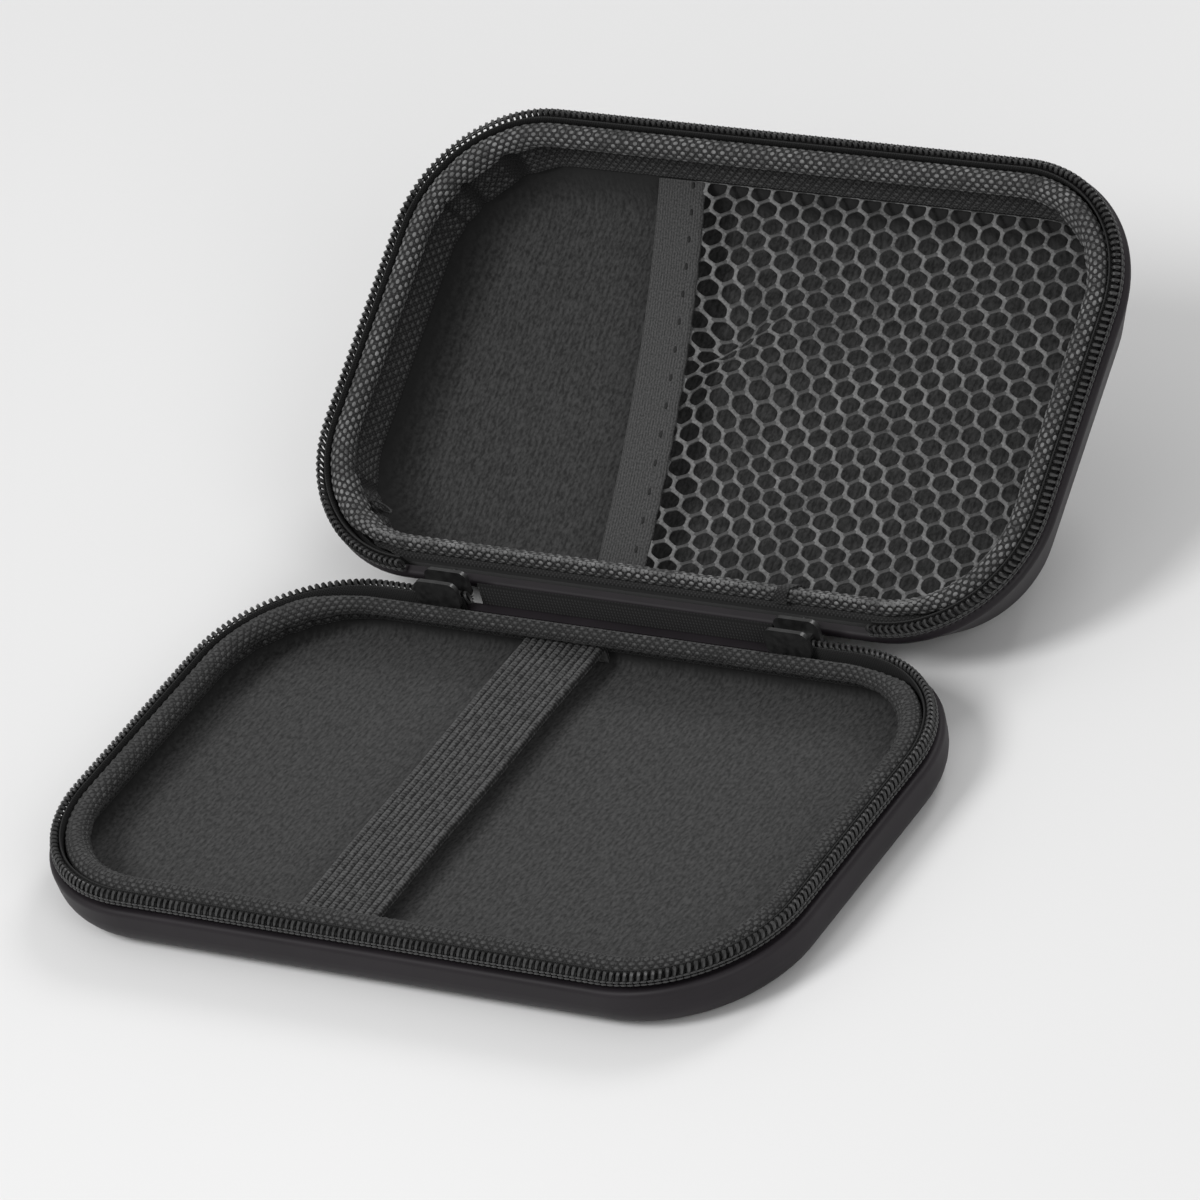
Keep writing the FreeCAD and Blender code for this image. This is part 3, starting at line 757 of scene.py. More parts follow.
def binding_section(half, reach):
    """Up the back of the leg, round the bead to its outer edge at reach, and down the face of the leg."""
    bottom = BINDINGS[half]
    bend = max(7.0, LEAN_START[half])
    points = [(inner(half, LEG_OUT, bottom), bottom), (inner(half, LEG_OUT, bend), bend), (LEG_OUT, 4.7),
              (reach - 0.45, 4.2), (reach, 3.7), (reach, 2.1), (reach - 1.3, 0.85), (-4.3, 0.7), (-5.8, 2.3),
              (-5.8, 3.8), (-4.6, 5.1), (-3.4, 5.4), (inner(half, LEG_IN, 6.2), 6.2),
              (inner(half, LEG_IN, bend), bend), (inner(half, LEG_IN, bottom), bottom)]
    return softened(points, 2)


def gathered(half, way):
    """How much of a corner a way is in, and how deep in one of the creases that draw the tape together."""
    outward = station_at(way)[1]
    corner = GATHERS[half] * abs(2 * outward.x * outward.y) ** 1.5
    phase = way * 2 * math.pi / CREASE_PITCH + 2.2 * math.sin(way / CREASE_DRIFT)
    return corner, (0.5 + 0.5 * math.sin(phase)) ** 4


def on_leg(w):
    """How far a depth is towards the leg, where the gathers are strongest."""
    return clamped((w - GATHER_START) / GATHER_REACH)


def binding_outline(half, way):
    """The outline at a way along the line, puffed up between the creases in the corners."""
    rear = clamped((station_at(way)[1].y - REAR_START) / REAR_REACH)
    corner, crease = gathered(half, way)
    outline = []
    for u, w in binding_section(half, BEAD_SIDE + (BEAD_REAR - BEAD_SIDE) * rear):
        puff = PUFF * corner * (1 - crease) * on_leg(w) * (1.0 if w < LEG_DEEP else 0.5)
        dip = DIP * corner * crease * max(0.0, 1 - abs(w - BEAD_MIDDLE) / BEAD_MIDDLE)
        outline.append((u - puff, w + dip))
    return outline


print("points in the outline", len(binding_outline("lid", 0.0)), "creases round the line",
      round(LINE_LENGTH / CREASE_PITCH))

# %% Rows for the floats
FLOATS = 228
FLOAT_ROW = 1.08
FLOAT_SIZE = (1.2, 0.88, 0.4)
SWALLOWED = 0.22


def nearest(outline, place):
    """The number of the outline's point that is nearest to a place."""
    return min(range(len(outline)), key=lambda k: math.dist(outline[k], place))


def rows_on(section, start, end):
    """Places on an outline between two points, as (its point, share of the way to the next point)."""
    first, last = nearest(section, start), nearest(section, end)
    steps = [math.dist(section[k], section[k + 1]) for k in range(first, last)]
    count = max(1, round(sum(steps) / FLOAT_ROW))
    places = []
    for number in range(count):
        left = sum(steps) * (number + 0.5) / count
        for k, step in enumerate(steps):
            if left <= step:
                places.append((first + k, left / step))
                break
            left -= step
    return places


def float_lines(half, rows):
    """One closed line for each row, with a point for each float that no tuck has swallowed."""
    lines = []
    for number, (k, share) in enumerate(rows):
        points, outs = [], []
        for j in range(FLOATS):
            way = (j + 0.5 * (number % 2)) * LINE_LENGTH / FLOATS
            station, outline = station_at(way), binding_outline(half, way)
            (u1, w1), (u2, w2) = outline[k], outline[k + 1]
            corner, crease = gathered(half, way)
            if corner * crease * on_leg(w1) > SWALLOWED:
                continue
            points.append(at(half, station, u1 + (u2 - u1) * share, w1 + (w2 - w1) * share))
            outs.append(leaning_out(half, station, (w2 - w1, u1 - u2)))
        lines.append((points, outs, True))
    return lines


print("floats in a row", FLOATS, "at", round(LINE_LENGTH / FLOATS, 2), "mm")

# %% Dark ground with painted shade in the creases, floats with a painted highlight for the lid's bead, dull ones for the rest
ground = Finish("binding_ground", grey(0.016), 0.75, Specular_IOR_Level=0.3, Sheen_Weight=0.1)
ground_weave = ground.wave(ground.place(0.7, math.radians(45), strip=True), "X")
ground_cross = ground.wave(ground.place(0.7, math.radians(-45), strip=True), "X")
ground_mix = ground.math("MULTIPLY", ground_weave, ground_cross)
# Painted shade: the mesh's fold attribute darkens the ground in the creases of the corners' tucks.
painted_crease_shade = ground.node("ShaderNodeAttribute", attribute_name="fold").outputs["Fac"]
outside_crease_shade = ground.math("SUBTRACT", 1.0, painted_crease_shade)
ground.shades(ground.math("MULTIPLY", ground_mix, outside_crease_shade), grey(0.005), grey(0.034), 0.0, 0.8)
ground.rough(ground_mix, 0.7, 0.85)
ground.relief(ground_mix, 0.15, 0.8)


def float_finish(name, dark, light):
    """The finish of the floats, lighter in soft patches as painted highlights, and a little different from
    float to float.
    """
    pale = Finish(name, grey((dark + light) / 2), 0.55, Specular_IOR_Level=0.4)
    highlight_patches = pale.noise(pale.place(7.0), 3.0)
    each = pale.noise(pale.place(1.6), 1.0)
    mix = pale.math("MULTIPLY_ADD", highlight_patches, 0.5, pale.math("MULTIPLY", each, 0.5))
    pale.shades(mix, grey(dark), grey(light), 0.34, 0.66)
    pale.rough(highlight_patches, 0.46, 0.65)
    return pale.material


DULL = float_finish("dull_float", 0.016, 0.057)
# The floats of the lid's bead: the same weave as DULL, painted lighter as a painted highlight.
HIGHLIT_FLOATS = float_finish("float_with_painted_highlight", 0.04, 0.2)
print("finishes of the binding", [finish.name for finish in (ground.material, DULL, HIGHLIT_FLOATS)])

# %% The tape's end and a loose loop of thread, both in the lid
END_WAYS = [33.6 + 0.5 * k for k in range(7)]
END_SLANT = 3.5
END_RAISED = 0.45
END_THICK = 0.4
LOOP_MIDDLE = Vector((-75.4, 38.6))
LOOP_ALONG, LOOP_ACROSS = Vector((0.95, 0.31)), Vector((-0.31, 0.95))
LOOP_REACH, LOOP_WIDTH = 2.9, 0.6
LOOP_DEPTH = 9.5
LOOP_POINTS = 22
LOOP_STITCH = (1.3, 0.5, 0.5)
seam_out = leaning_out("lid", ring_stations[0], (0, -1))


def tape_end():
    """The end of the tape, laid over its start on the hinge side and cut at a slant."""
    rows = []
    for way in END_WAYS:
        outline = binding_outline("lid", way)
        first, last = nearest(outline, (BEAD_REAR, 3.6)), nearest(outline, (-5.8, 3.8))
        row = []
        for k in range(first, last + 1):
            (u1, w1), (u2, w2) = outline[k], outline[k + 1]
            raised = END_RAISED / math.dist(outline[k], outline[k + 1])
            beside = station_at(way + END_SLANT * (k - first) / (last - first))
            row.append(at("lid", beside, u1 - raised * (w2 - w1), w1 - raised * (u1 - u2)))
        rows.append(row)
    return thickened("tape_end", swept("tape_end_sheet", rows, False, False), END_THICK, 0.0)


def thread_loop():
    """A loose loop of the seam's thread that lies on the leg in the corner by the hinge."""
    points = []
    for k in range(LOOP_POINTS):
        angle = 2 * math.pi * k / LOOP_POINTS
        flat = (LOOP_MIDDLE + LOOP_ALONG * LOOP_REACH * math.cos(angle)
                + LOOP_ACROSS * LOOP_WIDTH * math.sin(angle))
        points.append(HALVES["lid"] @ Vector((flat.x, flat.y, LOOP_DEPTH)))
    return points, [seam_out] * LOOP_POINTS, True


print("the tape's end is", END_WAYS[-1] - END_WAYS[0], "mm long and lifted by", END_RAISED, "mm")

# %% A binding in each half
section_ways = [way for start, end in zip(line_ways, line_ways[1:] + [LINE_LENGTH])
                for way in (start, (start + end) / 2)]
LEG_START = {"base": 6.6, "lid": 9.4}
CREASE_SHADE_STRENGTH = 1.5
for half, bottom in BINDINGS.items():
    name = half + "_binding_tape"
    outlines = [(station_at(way), binding_outline(half, way)) for way in section_ways]
    rings = [[at(half, station, u, w) for u, w in outline] for station, outline in outlines]
    body = swept(name + "_body", rings, True, True)
    body.materials.append(ground.material)
    # Painted shade for the tucks' creases: one value for each point, read by the ground's finish as fold.
    crease_shade_values = []
    for way, (station, outline) in zip(section_ways, outlines):
        corner, crease = gathered(half, way)
        crease_shade_values += [min(1.0, CREASE_SHADE_STRENGTH * corner * crease) * on_leg(w) for u, w in outline]
    body.attributes.new("fold", "FLOAT", "POINT").data.foreach_set("value", crease_shade_values)
    section = binding_section(half, BEAD_SIDE)
    bead_rows = rows_on(section, (BEAD_SIDE - 0.2, 4.0), (-5.0, 4.7))
    leg_rows = rows_on(section, (inner(half, LEG_IN, LEG_START[half]), LEG_START[half]),
                       (inner(half, LEG_IN, bottom), bottom - 0.3))
    parts = [body]
    for rows, finish in ((bead_rows, HIGHLIT_FLOATS if half == "lid" else DULL), (leg_rows, DULL)):
        lines = float_lines(half, rows)
        parts.append(repeated(name + "_floats", lines, lump("float_shape"), None, FLOAT_SIZE, finish))
    if half == "lid":
        # Painted shade: the tape's end has no floats, so it shows as a dark slanted band, its own dark ground
        # standing for the shadow at the cut edge.
        shaded_tape_end = tape_end()
        shaded_tape_end.materials.append(ground.material)
        parts += [shaded_tape_end, repeated("loop", [thread_loop()], lump("loop_shape"), None, LOOP_STITCH, DULL)]
    tape = made(name, joined(name, parts))
    finished(tape, half, "binding_tape", smooth_angle=50)
    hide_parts(half + "_binding")
    print(name, len(bead_rows), "rows of floats on the bead,", len(tape.data.polygons), "faces")

# %% [markdown]
# ## Elastic strap
#
# A woven elastic band crosses the base and holds the load. Rubber cores make its lengthwise ribs. Webbing
# like this is modelled directly: its ribbed outline is swept along a path that turns down at both walls,
# and the fine cross-weave is left to the finish. Little light gets into the grooves between the ribs, so the
# mesh carries their depth as an attribute, and the finish darkens them by it.

# %% Path and ribs of the strap
STRAP_X = -12.0
STRAP_WIDTH = 20.0
STRAP_RIBS = 11
STRAP_SPAN = 49.7
STRAP_LEVEL = 6.2
STRAP_END = 9.9
STRAP_BEND = 1.4
STRAP_REACH = STRAP_SPAN - 0.6
STRAP_STEPS = 60
RIB_STEPS = 6
RIB_HEIGHT, RIB_ROUND = 0.5, 0.55
STRAP_FACE, STRAP_BACK = 0.05, -0.5
SELVEDGE = 0.5
SWAY, SWAY_REACH = 0.12, 47.0


def strap_path():
    """Points along the strap's middle with the direction its upper face looks in: (y, w, angle)."""
    drop = STRAP_END - STRAP_LEVEL - STRAP_BEND
    path = [(-STRAP_REACH, STRAP_END - k * drop / 3, 90) for k in range(4)]
    for angle in (70, 45, 20):
        turn = math.radians(angle)
        path.append((-STRAP_REACH + STRAP_BEND - STRAP_BEND * math.sin(turn),
                     STRAP_LEVEL + STRAP_BEND - STRAP_BEND * math.cos(turn), angle))
    straight = STRAP_REACH - STRAP_BEND
    middle = [(-straight + 2 * straight * k / STRAP_STEPS, STRAP_LEVEL, 0) for k in range(STRAP_STEPS + 1)]
    return path + middle + [(-y, w, -angle) for y, w, angle in reversed(path)]


def strap_section():
    """The strap's outline as (x, height, groove): round ribs above, a flat face below, thin selvedges."""
    steps = STRAP_RIBS * RIB_STEPS
    upper = []
    for k in range(steps + 1):
        x = -STRAP_WIDTH / 2 + STRAP_WIDTH * k / steps
        rib = abs(math.sin(math.pi * STRAP_RIBS * (x / STRAP_WIDTH + 0.5))) ** RIB_ROUND
        edge = min(1.0, (STRAP_WIDTH / 2 - abs(x)) / SELVEDGE)
        upper.append((x, STRAP_FACE + 0.2 * edge + RIB_HEIGHT * rib, 1 - rib))
    lower = [(x, STRAP_BACK - 0.08 * (1 - h), 0.0) for x, h, groove in reversed(upper[::3])]
    return upper + lower


strap_rows = []
for y, w, angle in strap_path():
    turn = math.radians(angle)
    middle_x = STRAP_X + (SWAY * math.sin(y / 7.3 + 1.0) if abs(y) < SWAY_REACH else 0.0)
    strap_rows.append([HALVES["base"] @ Vector((middle_x + x, y - height * math.sin(turn),
                                                w - height * math.cos(turn)))
                       for x, height, groove in strap_section()])
print("strap", STRAP_RIBS, "ribs,", len(strap_rows), "rows of", len(strap_rows[0]), "points")

# %% Elastic, and the strap itself
elastic = Finish("ribbed_elastic", grey(0.045), 0.75, Specular_IOR_Level=0.25, Sheen_Weight=0.1)
elastic_weave = elastic.wave(elastic.place(0.8), "Y", 1.6)
elastic_flecks = elastic.noise(elastic.place((0.5, 0.9, 0.9)), 2.0)
elastic_mix = elastic.math("MULTIPLY_ADD", elastic_weave, 0.2, elastic.math("MULTIPLY", elastic_flecks, 0.8))
elastic_groove = elastic.node("ShaderNodeAttribute", attribute_name="groove").outputs["Fac"]
elastic_tone = elastic.math("MULTIPLY_ADD", elastic_groove, -0.3, elastic_mix)
elastic.shades(elastic_tone, grey(0.006), grey(0.09), 0.28, 0.66)
elastic.rough(elastic_flecks, 0.6, 0.8)
elastic.relief(elastic_mix, 0.2, 0.8)
strap = made("ribbed_strap", swept("ribbed_strap", strap_rows, False, True), elastic.material)
grooves = [groove for x, height, groove in strap_section()] * len(strap_rows)
strap.data.attributes.new("groove", "FLOAT", "POINT").data.foreach_set("value", grooves)
finished(strap, "base", "elastic", smooth_angle=60)
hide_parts("holding_strap")
print("strap", len(strap.data.polygons), "faces")

# %% [markdown]
# ## Pocket band
#
# The open edge of the pocket is a plain woven tape, folded over the net and sewn through. The net pulls
# it into a bow, so it is swept along an arc, with a slight ripple where the seam draws it in.

# %% The band's arc and its strip
BAND_POINTS = ((-34.0, -52.35), (-20.0, 0.0), (-13.5, 52.35))
BAND_LEVEL = 14.6
BAND_REACH = 46.5
BAND_BOW = 0.9
BAND_STEPS = 80
BAND_STITCH = 6.6
BAND_RIPPLE = 0.35


def band_x(y):
    """Where the middle of the band is at y: the parabola through its three points."""
    (x1, y1), (x2, y2), (x3, y3) = BAND_POINTS
    slope_1, slope_2 = (x2 - x1) / (y2 - y1), (x3 - x2) / (y3 - y2)
    curve = (slope_2 - slope_1) / (y3 - y1)
    return x1 + slope_1 * (y - y1) + curve * (y - y1) * (y - y2)


def band_level(y):
    """How deep the middle of the band lies at y, where the net's pull lifts it."""
    return BAND_LEVEL - BAND_BOW * math.sin(math.pi * (y / BAND_REACH + 1) / 2)


band_section = softened([(-6.0, -0.45), (-6.0, 0.45), (-3.0, 0.62), (3.0, 0.62), (6.0, 0.5), (6.0, -0.5),
                         (3.0, -0.55), (-3.0, -0.55)], 2)
band_rows = []
for k in range(BAND_STEPS + 1):
    y = -BAND_REACH + 2 * BAND_REACH * k / BAND_STEPS
    row = []
    for x, height in band_section:
        ripple = BAND_RIPPLE * math.sin(y / BAND_STITCH * 2 * math.pi) * max(0.0, (x - 1.0) / 5.0)
        row.append(HALVES["lid"] @ Vector((band_x(y) + x, y, band_level(y) - height + 0.5 * ripple)))
    band_rows.append(row)
print("band", len(band_rows), "rows of", len(band_section), "points")

# %% The band's weave
tape_weave = Finish("pocket_tape_weave", grey(0.05), 0.8, Specular_IOR_Level=0.25, Sheen_Weight=0.12)
weft_lines = tape_weave.wave(tape_weave.place(0.7, strip=True), "Y", 1.5)
tape_flecks = tape_weave.noise(tape_weave.place((0.5, 0.4, 1.0), strip=True), 2.0)
tape_mix = tape_weave.math("MULTIPLY_ADD", tape_flecks, 0.85, tape_weave.math("MULTIPLY", weft_lines, 0.15))
tape_weave.shades(tape_mix, grey(0.022), grey(0.074), 0.35, 0.68)
tape_weave.rough(tape_flecks, 0.7, 0.9)
tape_weave.relief(tape_mix, 0.2, 0.8)
band_body = swept("band_body", band_rows, False, True)
band_body.materials.append(tape_weave.material)
print("band", len(band_body.polygons), "faces before it is sewn")

# %% Stitches along the band's right edge
SEAM_STEPS = 60
SEAM_REACH = BAND_REACH - 1
SEAM_OFFSET, SEAM_HEIGHT = 3.2, 0.62
SEAM_STITCH = (1.7, 0.8, 0.5)
seam = []
for k in range(SEAM_STEPS + 1):
    y = -BAND_REACH + 1 + 2 * SEAM_REACH * k / SEAM_STEPS
    seam.append(HALVES["lid"] @ Vector((band_x(y) + SEAM_OFFSET, y, band_level(y) - SEAM_HEIGHT)))
dark_thread = Finish("dark_thread", grey(0.005), 0.75)
dark_twist = dark_thread.noise(dark_thread.place(0.3), 2.0)
dark_thread.shades(dark_twist, grey(0.003), grey(0.009), 0.3, 0.7)
dark_thread.rough(dark_twist, 0.7, 0.85)
stitches = repeated("band_stitches", [(seam, [seam_out] * len(seam), False)], lump("band_stitch_shape", 4, 8),
                    BAND_STITCH, SEAM_STITCH, dark_thread.material)
band = made("woven_band", joined("woven_band", [band_body, stitches]))
finished(band, "lid", "pocket_tape", smooth_angle=60)
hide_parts("pocket_band")
print("band", len(band.data.polygons), "faces")

# %% [markdown]
# ## Net pocket
#
# The net is knitted in one piece: rings of yarn that share their sides, so the holes stand like a
# honeycomb. Each cell is a ring of twelve quads between a hexagon and a hole with softer corners. The strands
# of one diagonal get a darker copy of the yarn's finish as painted shade, and the rest a lighter copy as a
# painted highlight.
# Neighbouring rings are welded, points past the pocket's edge are pulled back to it, and then the sheet is
# warped: a small crease near the band, where the pull is uneven, a longer and weaker fold towards the hinge,
# and shallow waves across the rest.

# %% Edge and warp of the net
NET_LEVEL = 14.5
NET_EDGE = -5.55
NET_START = 3.4
CREASE = ((-14.0, -0.3), (6.0, -17.5))
CREASE_PULL = 0.76
LONG_FOLD = ((-6.0, 4.0), (29.0, 34.0))
LONG_FOLD_PULL = 0.14
FOLD_WIDTH = 11.0
CREASE_DEPTH, CREASE_NARROW, CREASE_LIFT = 1.8, 2.5, 0.8
SHORT_WAVE, LONG_WAVE, SIDE_WAVE = 4.4, 9.0, 13.0
FREE_Y, FREE_X, EDGE_HOLD = 45.0, 82.0, 12
BAND_GAP, BAND_HOLD = 5, 8


def held_inside(x, y):
    """A point pulled back onto the pocket: inside the lid's wall and right of the band's middle."""
    half_x, half_y, radius = HALF_LENGTH + NET_EDGE, HALF_WIDTH + NET_EDGE, CORNER + NET_EDGE
    over_x, over_y = abs(x) - (half_x - radius), abs(y) - (half_y - radius)
    if over_x > 0 and over_y > 0:
        past = math.hypot(over_x, over_y)
        if past > radius:
            over_x, over_y = over_x * radius / past, over_y * radius / past
    near_x = min(half_x, half_x - radius + over_x) if over_x > 0 else abs(x)
    near_y = min(half_y, half_y - radius + over_y) if over_y > 0 else abs(y)
    x, y = math.copysign(near_x, x), math.copysign(near_y, y)
    return max(x, band_x(y) + NET_START), y


def drawn_in(x, y, start, end):
    """Where a point is beside a fold line: its distance across, the fold's hold on it, and the way across."""
    along = Vector(end) - Vector(start)
    offset = Vector((x, y)) - Vector(start)
    across = Vector((-along.y, along.x)).normalized()
    reach = offset.dot(along) / along.length_squared
    distance = offset.dot(across)
    hold = math.exp(-((reach - 0.45) / 0.55) ** 2) * math.exp(-(distance / FOLD_WIDTH) ** 2)
    return distance, hold, across


def warped(x, y):
    """The crease and the waves: where a point of the flat net ends up, and its depth."""
    edge = min(1.0, max(0.0, FREE_Y - abs(y)) / EDGE_HOLD, max(0.0, FREE_X - x) / EDGE_HOLD,
               max(0.0, x - band_x(y) - BAND_GAP) / BAND_HOLD)
    distance, hold, across = drawn_in(x, y, *CREASE)
    moved = Vector((x, y)) - across * distance * CREASE_PULL * hold * edge
    crease = -CREASE_DEPTH * hold * math.exp(-(distance / CREASE_NARROW) ** 2) + CREASE_LIFT * hold
    distance, hold, across = drawn_in(x, y, *LONG_FOLD)
    moved -= across * distance * LONG_FOLD_PULL * hold * edge
    wave = 0.8 * math.sin((0.66 * x - 0.75 * y) / SHORT_WAVE + 0.6)
    wave += 0.4 * math.sin((x + 0.7 * y) / LONG_WAVE)
    moved += Vector((0.3, 0.7)) * 0.7 * math.sin((x + 0.4 * y) / SIDE_WAVE) * edge
    return moved.x, moved.y, NET_LEVEL + (crease + 0.8 * wave + 0.6) * edge


print("the middle of the pocket lies", round(warped(25.0, 0.0)[2], 2), "mm deep")

# %% Cells of the net
CELL = 5.65
CELL_ROW = 3.8
CELL_TALL = CELL_ROW * 4 / 3
HOLE_X, HOLE_Y = CELL / 2 - 0.41, CELL_TALL / 2 - 0.35
HOLE_CORNERS = 0.65
CELL_PAST = 1.2
THIN_YARN, YARN_KEPT = 0.3, 0.12
ROWS, COLUMNS = range(-14, 15), range(-6, 18)
SIDES = 12
NET_WELD, NET_SLIVER = 0.02, 0.01


def hexagon():
    """The corners of a standing hexagon and the middles of its sides, round its middle."""
    corners = []
    for k in range(6):
        angle = math.radians(60 * k + 90)
        shoulder = CELL_TALL / 4 if k % 3 else CELL_TALL / 2
        corners.append((CELL / 2 * (0 if k % 3 == 0 else math.copysign(1, math.cos(angle))),
                        math.copysign(shoulder, math.sin(angle))))
    points = []
    for first, second in zip(corners, corners[1:] + corners[:1]):
        points += [first, ((first[0] + second[0]) / 2, (first[1] + second[1]) / 2)]
    return points


def cell_hole(x, y, ring, rim):
    """The hole of the cell at x, y, between a hexagon and an ellipse, kept inside its rim at the edge."""
    hole = []
    for dx, dy in ring:
        angle = math.atan2(dy / HOLE_Y, dx / HOLE_X)
        bend_x = math.cos(angle) * (1 - HOLE_CORNERS) + 2 * dx / CELL * HOLE_CORNERS
        bend_y = math.sin(angle) * (1 - HOLE_CORNERS) + 2 * dy / CELL_TALL * HOLE_CORNERS
        hole.append(held_inside(x + HOLE_X * bend_x, y + HOLE_Y * bend_y))
    middle = (sum(p[0] for p in rim) / SIDES, sum(p[1] for p in rim) / SIDES)
    hole = [tuple(min(max(h, min(m, r)), max(m, r)) for h, m, r in zip(point, middle, edge))
            for point, edge in zip(hole, rim)]
    return [tuple(h + (m - h) * YARN_KEPT for h, m in zip(point, middle))
            if math.dist(point, edge) < THIN_YARN else point for point, edge in zip(hole, rim)]


def net_sheet():
    """The warped net as a mesh, and the area of its yarn while it is flat, in square millimetres."""
    builder = bmesh.new()
    ring = hexagon()
    for row in ROWS:
        for column in COLUMNS:
            x, y = CELL * (column + 0.5 * (row % 2)), CELL_ROW * row
            if math.dist(held_inside(x, y), (x, y)) > CELL_PAST:
                continue
            rim = [held_inside(x + dx, y + dy) for dx, dy in ring]
            outside = [builder.verts.new((*point, 0)) for point in rim]
            inside = [builder.verts.new((*point, 0)) for point in cell_hole(x, y, ring, rim)]
            for k in range(SIDES):
                following = (k + 1) % SIDES
                strand = builder.faces.new([outside[k], outside[following], inside[following], inside[k]])
                # Painted light: the strands of one diagonal take the darker copy of the yarn, the rest the
                # lighter copy.
                strand.material_index = 1 if k // 2 in (2, 5) else 0
    bmesh.ops.remove_doubles(builder, verts=builder.verts, dist=NET_WELD)
    bmesh.ops.dissolve_degenerate(builder, edges=builder.edges, dist=NET_SLIVER)
    flat_area = sum(face.calc_area() for face in builder.faces)
    for vert in builder.verts:
        vert.co = HALVES["lid"] @ Vector(warped(vert.co.x, vert.co.y))
    bmesh.ops.recalc_face_normals(builder, faces=builder.faces)
    return mesh_of(builder, "net_sheet"), flat_area


print("cells up to", len(ROWS), "rows of", len(COLUMNS), "before the pocket's edge cuts them")

# %% Yarn, and the net itself
YARN_THICK = 0.45


def yarn(name, dark, light):
    """The finish of the net's yarn, in soft patches and with a fine twist."""
    fibre = Finish(name, grey((dark + light) / 2), 0.6, Specular_IOR_Level=0.35, Sheen_Weight=0.1)
    twist = fibre.noise(fibre.place(0.6), 2.0)
    patch = fibre.noise(fibre.place(7.0), 2.0)
    fibre.shades(fibre.math("MULTIPLY_ADD", patch, 0.5, fibre.math("MULTIPLY", twist, 0.5)), grey(dark),
                 grey(light), 0.32, 0.68)
    fibre.rough(twist, 0.5, 0.7)
    fibre.relief(twist, 0.12, 0.7)
    return fibre.material


net_flat, net_area = net_sheet()
# Two copies of one yarn: lighter as a painted highlight, darker as painted shade.
for material in (yarn("yarn_with_painted_highlight", 0.043, 0.2), yarn("yarn_with_painted_shade", 0.02, 0.072)):
    net_flat.materials.append(material)
net = made("pocket_mesh", thickened("pocket_mesh", net_flat, YARN_THICK, 0.0, 1))
finished(net, "lid", "net", smooth_angle=80)
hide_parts("pocket_net")
print("net", len(net.data.polygons), "faces, flat yarn", round(net_area / 100, 1), "square centimetres")

# %% [markdown]
# ## Cloth hinge
#
# Along the back the two halves are joined by a strip of plain-woven cloth. It folds on the hinge's axis,
# and the strip is built in that folded shape as one piece.

# %% The folded strip
HINGE_LENGTH = 75.0
HINGE_U = 4.05
HINGE_DEPTHS = [9.1, 7.6, 6.0, 4.6, 3.6, 2.4, 1.2, 0.4]
HINGE_STEPS = 50
HINGE_THICK = 0.6
fold_rows = []
for k in range(HINGE_STEPS + 1):
    x = -HINGE_LENGTH / 2 + HINGE_LENGTH * k / HINGE_STEPS
    here = (Vector((x, HALF_WIDTH)), Vector((0, 1)))
    row = [at("base", here, outer("base", HINGE_U, w), w) for w in HINGE_DEPTHS]
    row.append(at("base", here, HINGE_U, 0.0))
    fold_rows.append(row + [at("lid", here, outer("lid", HINGE_U, w), w) for w in reversed(HINGE_DEPTHS)])
print("hinge", len(fold_rows), "rows of", len(fold_rows[0]), "points")

# %% Plain weave, and the hinge itself
plain_weave_shaded = Finish("hinge_weave_with_painted_shade", grey(0.02), 0.8, Specular_IOR_Level=0.25, Sheen_Weight=0.1)
hinge_warp = plain_weave_shaded.wave(plain_weave_shaded.place(0.8, strip=True), "X", 0.4)
hinge_weft = plain_weave_shaded.wave(plain_weave_shaded.place(0.8, strip=True), "Y", 0.4)
hinge_mix = plain_weave_shaded.math("MULTIPLY", hinge_warp, hinge_weft)
# Painted shade: the cloth is dark, and its colour is set darker still for the shadow at the hinge.
plain_weave_shaded.shades(hinge_mix, grey(0.006), grey(0.02), 0.1, 0.8)
plain_weave_shaded.rough(hinge_mix, 0.7, 0.9)
plain_weave_shaded.relief(hinge_mix, 0.15, 0.8)
fold_mesh = swept("hinge_sheet", fold_rows, False, False)
fold = made("folding_cloth", thickened("folding_cloth", fold_mesh, HINGE_THICK, 0.0), plain_weave_shaded.material)
smoothed(fold.data).set_sharp_from_angle(angle=math.radians(60))
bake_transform(fold)
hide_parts("hinge_cloth")
print("hinge cloth", len(fold.data.polygons), "faces")

# %% [markdown]
# ## Floor, light and camera
#
# A pale floor and large soft lamps, as for a product picture. The camera is a long lens, turned a little
# on its own axis, at the place that was worked out from the outlines of both halves in the photograph.

# %% Stage and lamps
scene = bpy.context.scene
scene.view_settings.view_transform = "Standard"
paper = Finish("pale_paper", (0.78, 0.78, 0.78), 0.9)
paper_grain = paper.noise(paper.place(400.0), 2.0)
paper.shades(paper_grain, (0.76, 0.76, 0.76), (0.80, 0.80, 0.80), 0.3, 0.7)
floor_mesh = bpy.data.meshes.new("floor")
floor_mesh.from_pydata([(-6, -6, 0), (6, -6, 0), (6, 6, 0), (-6, 6, 0)], [], [(0, 1, 2, 3)])
floor = made("floor", floor_mesh)
floor.data.materials.append(paper.material)

world = bpy.data.worlds.new("studio")
world.use_nodes = True
sky = world.node_tree.nodes["Background"]
sky.inputs["Color"].default_value = (1, 1, 1, 1)
sky.inputs["Strength"].default_value = 0.45
scene.world = world
AIM = Vector((0, 0.05, 0.03))


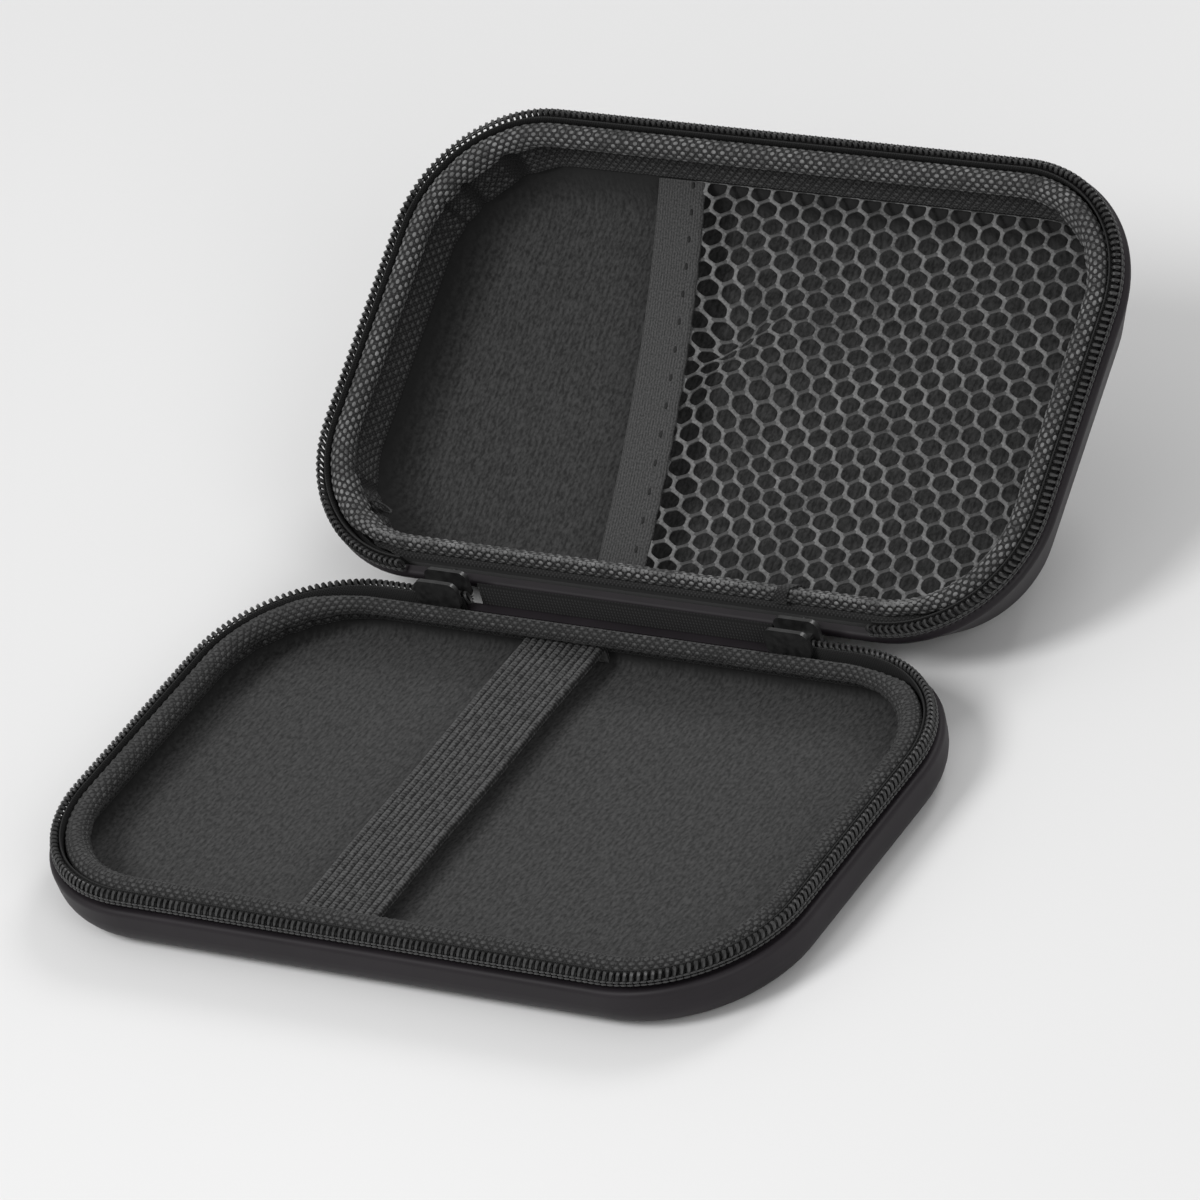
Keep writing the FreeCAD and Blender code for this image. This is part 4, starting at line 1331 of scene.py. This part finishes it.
def lamp(name, place, size, power):
    """A round soft lamp that looks at the case."""
    data = bpy.data.lights.new(name, "AREA")
    data.shape = "DISK"
    data.size = size
    data.energy = power
    holder = bpy.data.objects.new(name, data)
    holder.location = place
    holder.rotation_euler = (AIM - Vector(place)).to_track_quat("-Z", "Y").to_euler()
    scene.collection.objects.link(holder)


lamp("key", (-0.5, -0.9, 1.3), 0.7, 14)
lamp("fill", (1.2, -0.7, 0.8), 0.8, 6)
lamp("rim", (0.2, 1.2, 1.1), 0.6, 6)
print("lamps", sorted(light.name for light in bpy.data.lights))

# %% Camera
YAW, RISE, ROLL = (math.radians(angle) for angle in (42.954, 34.352, -18.847))
DISTANCE = 2.0
OFF_RIGHT, OFF_UP = 0.009834, 0.023229
FOCAL_PIXELS = 9667.2
FRAME_PIXELS = 1200
SENSOR = 36.0
back = Vector((math.sin(YAW) * math.cos(RISE), -math.cos(YAW) * math.cos(RISE), math.sin(RISE)))
level_right = Vector((math.cos(YAW), math.sin(YAW), 0))
level_up = back.cross(level_right)
right = level_right * math.cos(ROLL) + level_up * math.sin(ROLL)
up = level_up * math.cos(ROLL) - level_right * math.sin(ROLL)
view_back = (back - right * OFF_RIGHT - up * OFF_UP).normalized()
view_right = (right - view_back * right.dot(view_back)).normalized()
view_up = view_back.cross(view_right)
lens = bpy.data.cameras.new("camera")
lens.sensor_fit = "HORIZONTAL"
lens.sensor_width = SENSOR
lens.lens = FOCAL_PIXELS / FRAME_PIXELS * SENSOR
lens.clip_start = 0.05
lens.clip_end = 50.0
camera = bpy.data.objects.new("camera", lens)
camera.matrix_world = Matrix.Translation(back * DISTANCE) @ Matrix(
    (view_right, view_up, view_back)).transposed().to_4x4()
scene.collection.objects.link(camera)
scene.camera = camera
print("camera at", [round(v, 3) for v in camera.matrix_world.translation])

# %% [markdown]
# ## Last update
#
# The view layer is brought up to date once more.

# %% Update
bpy.context.view_layer.update()
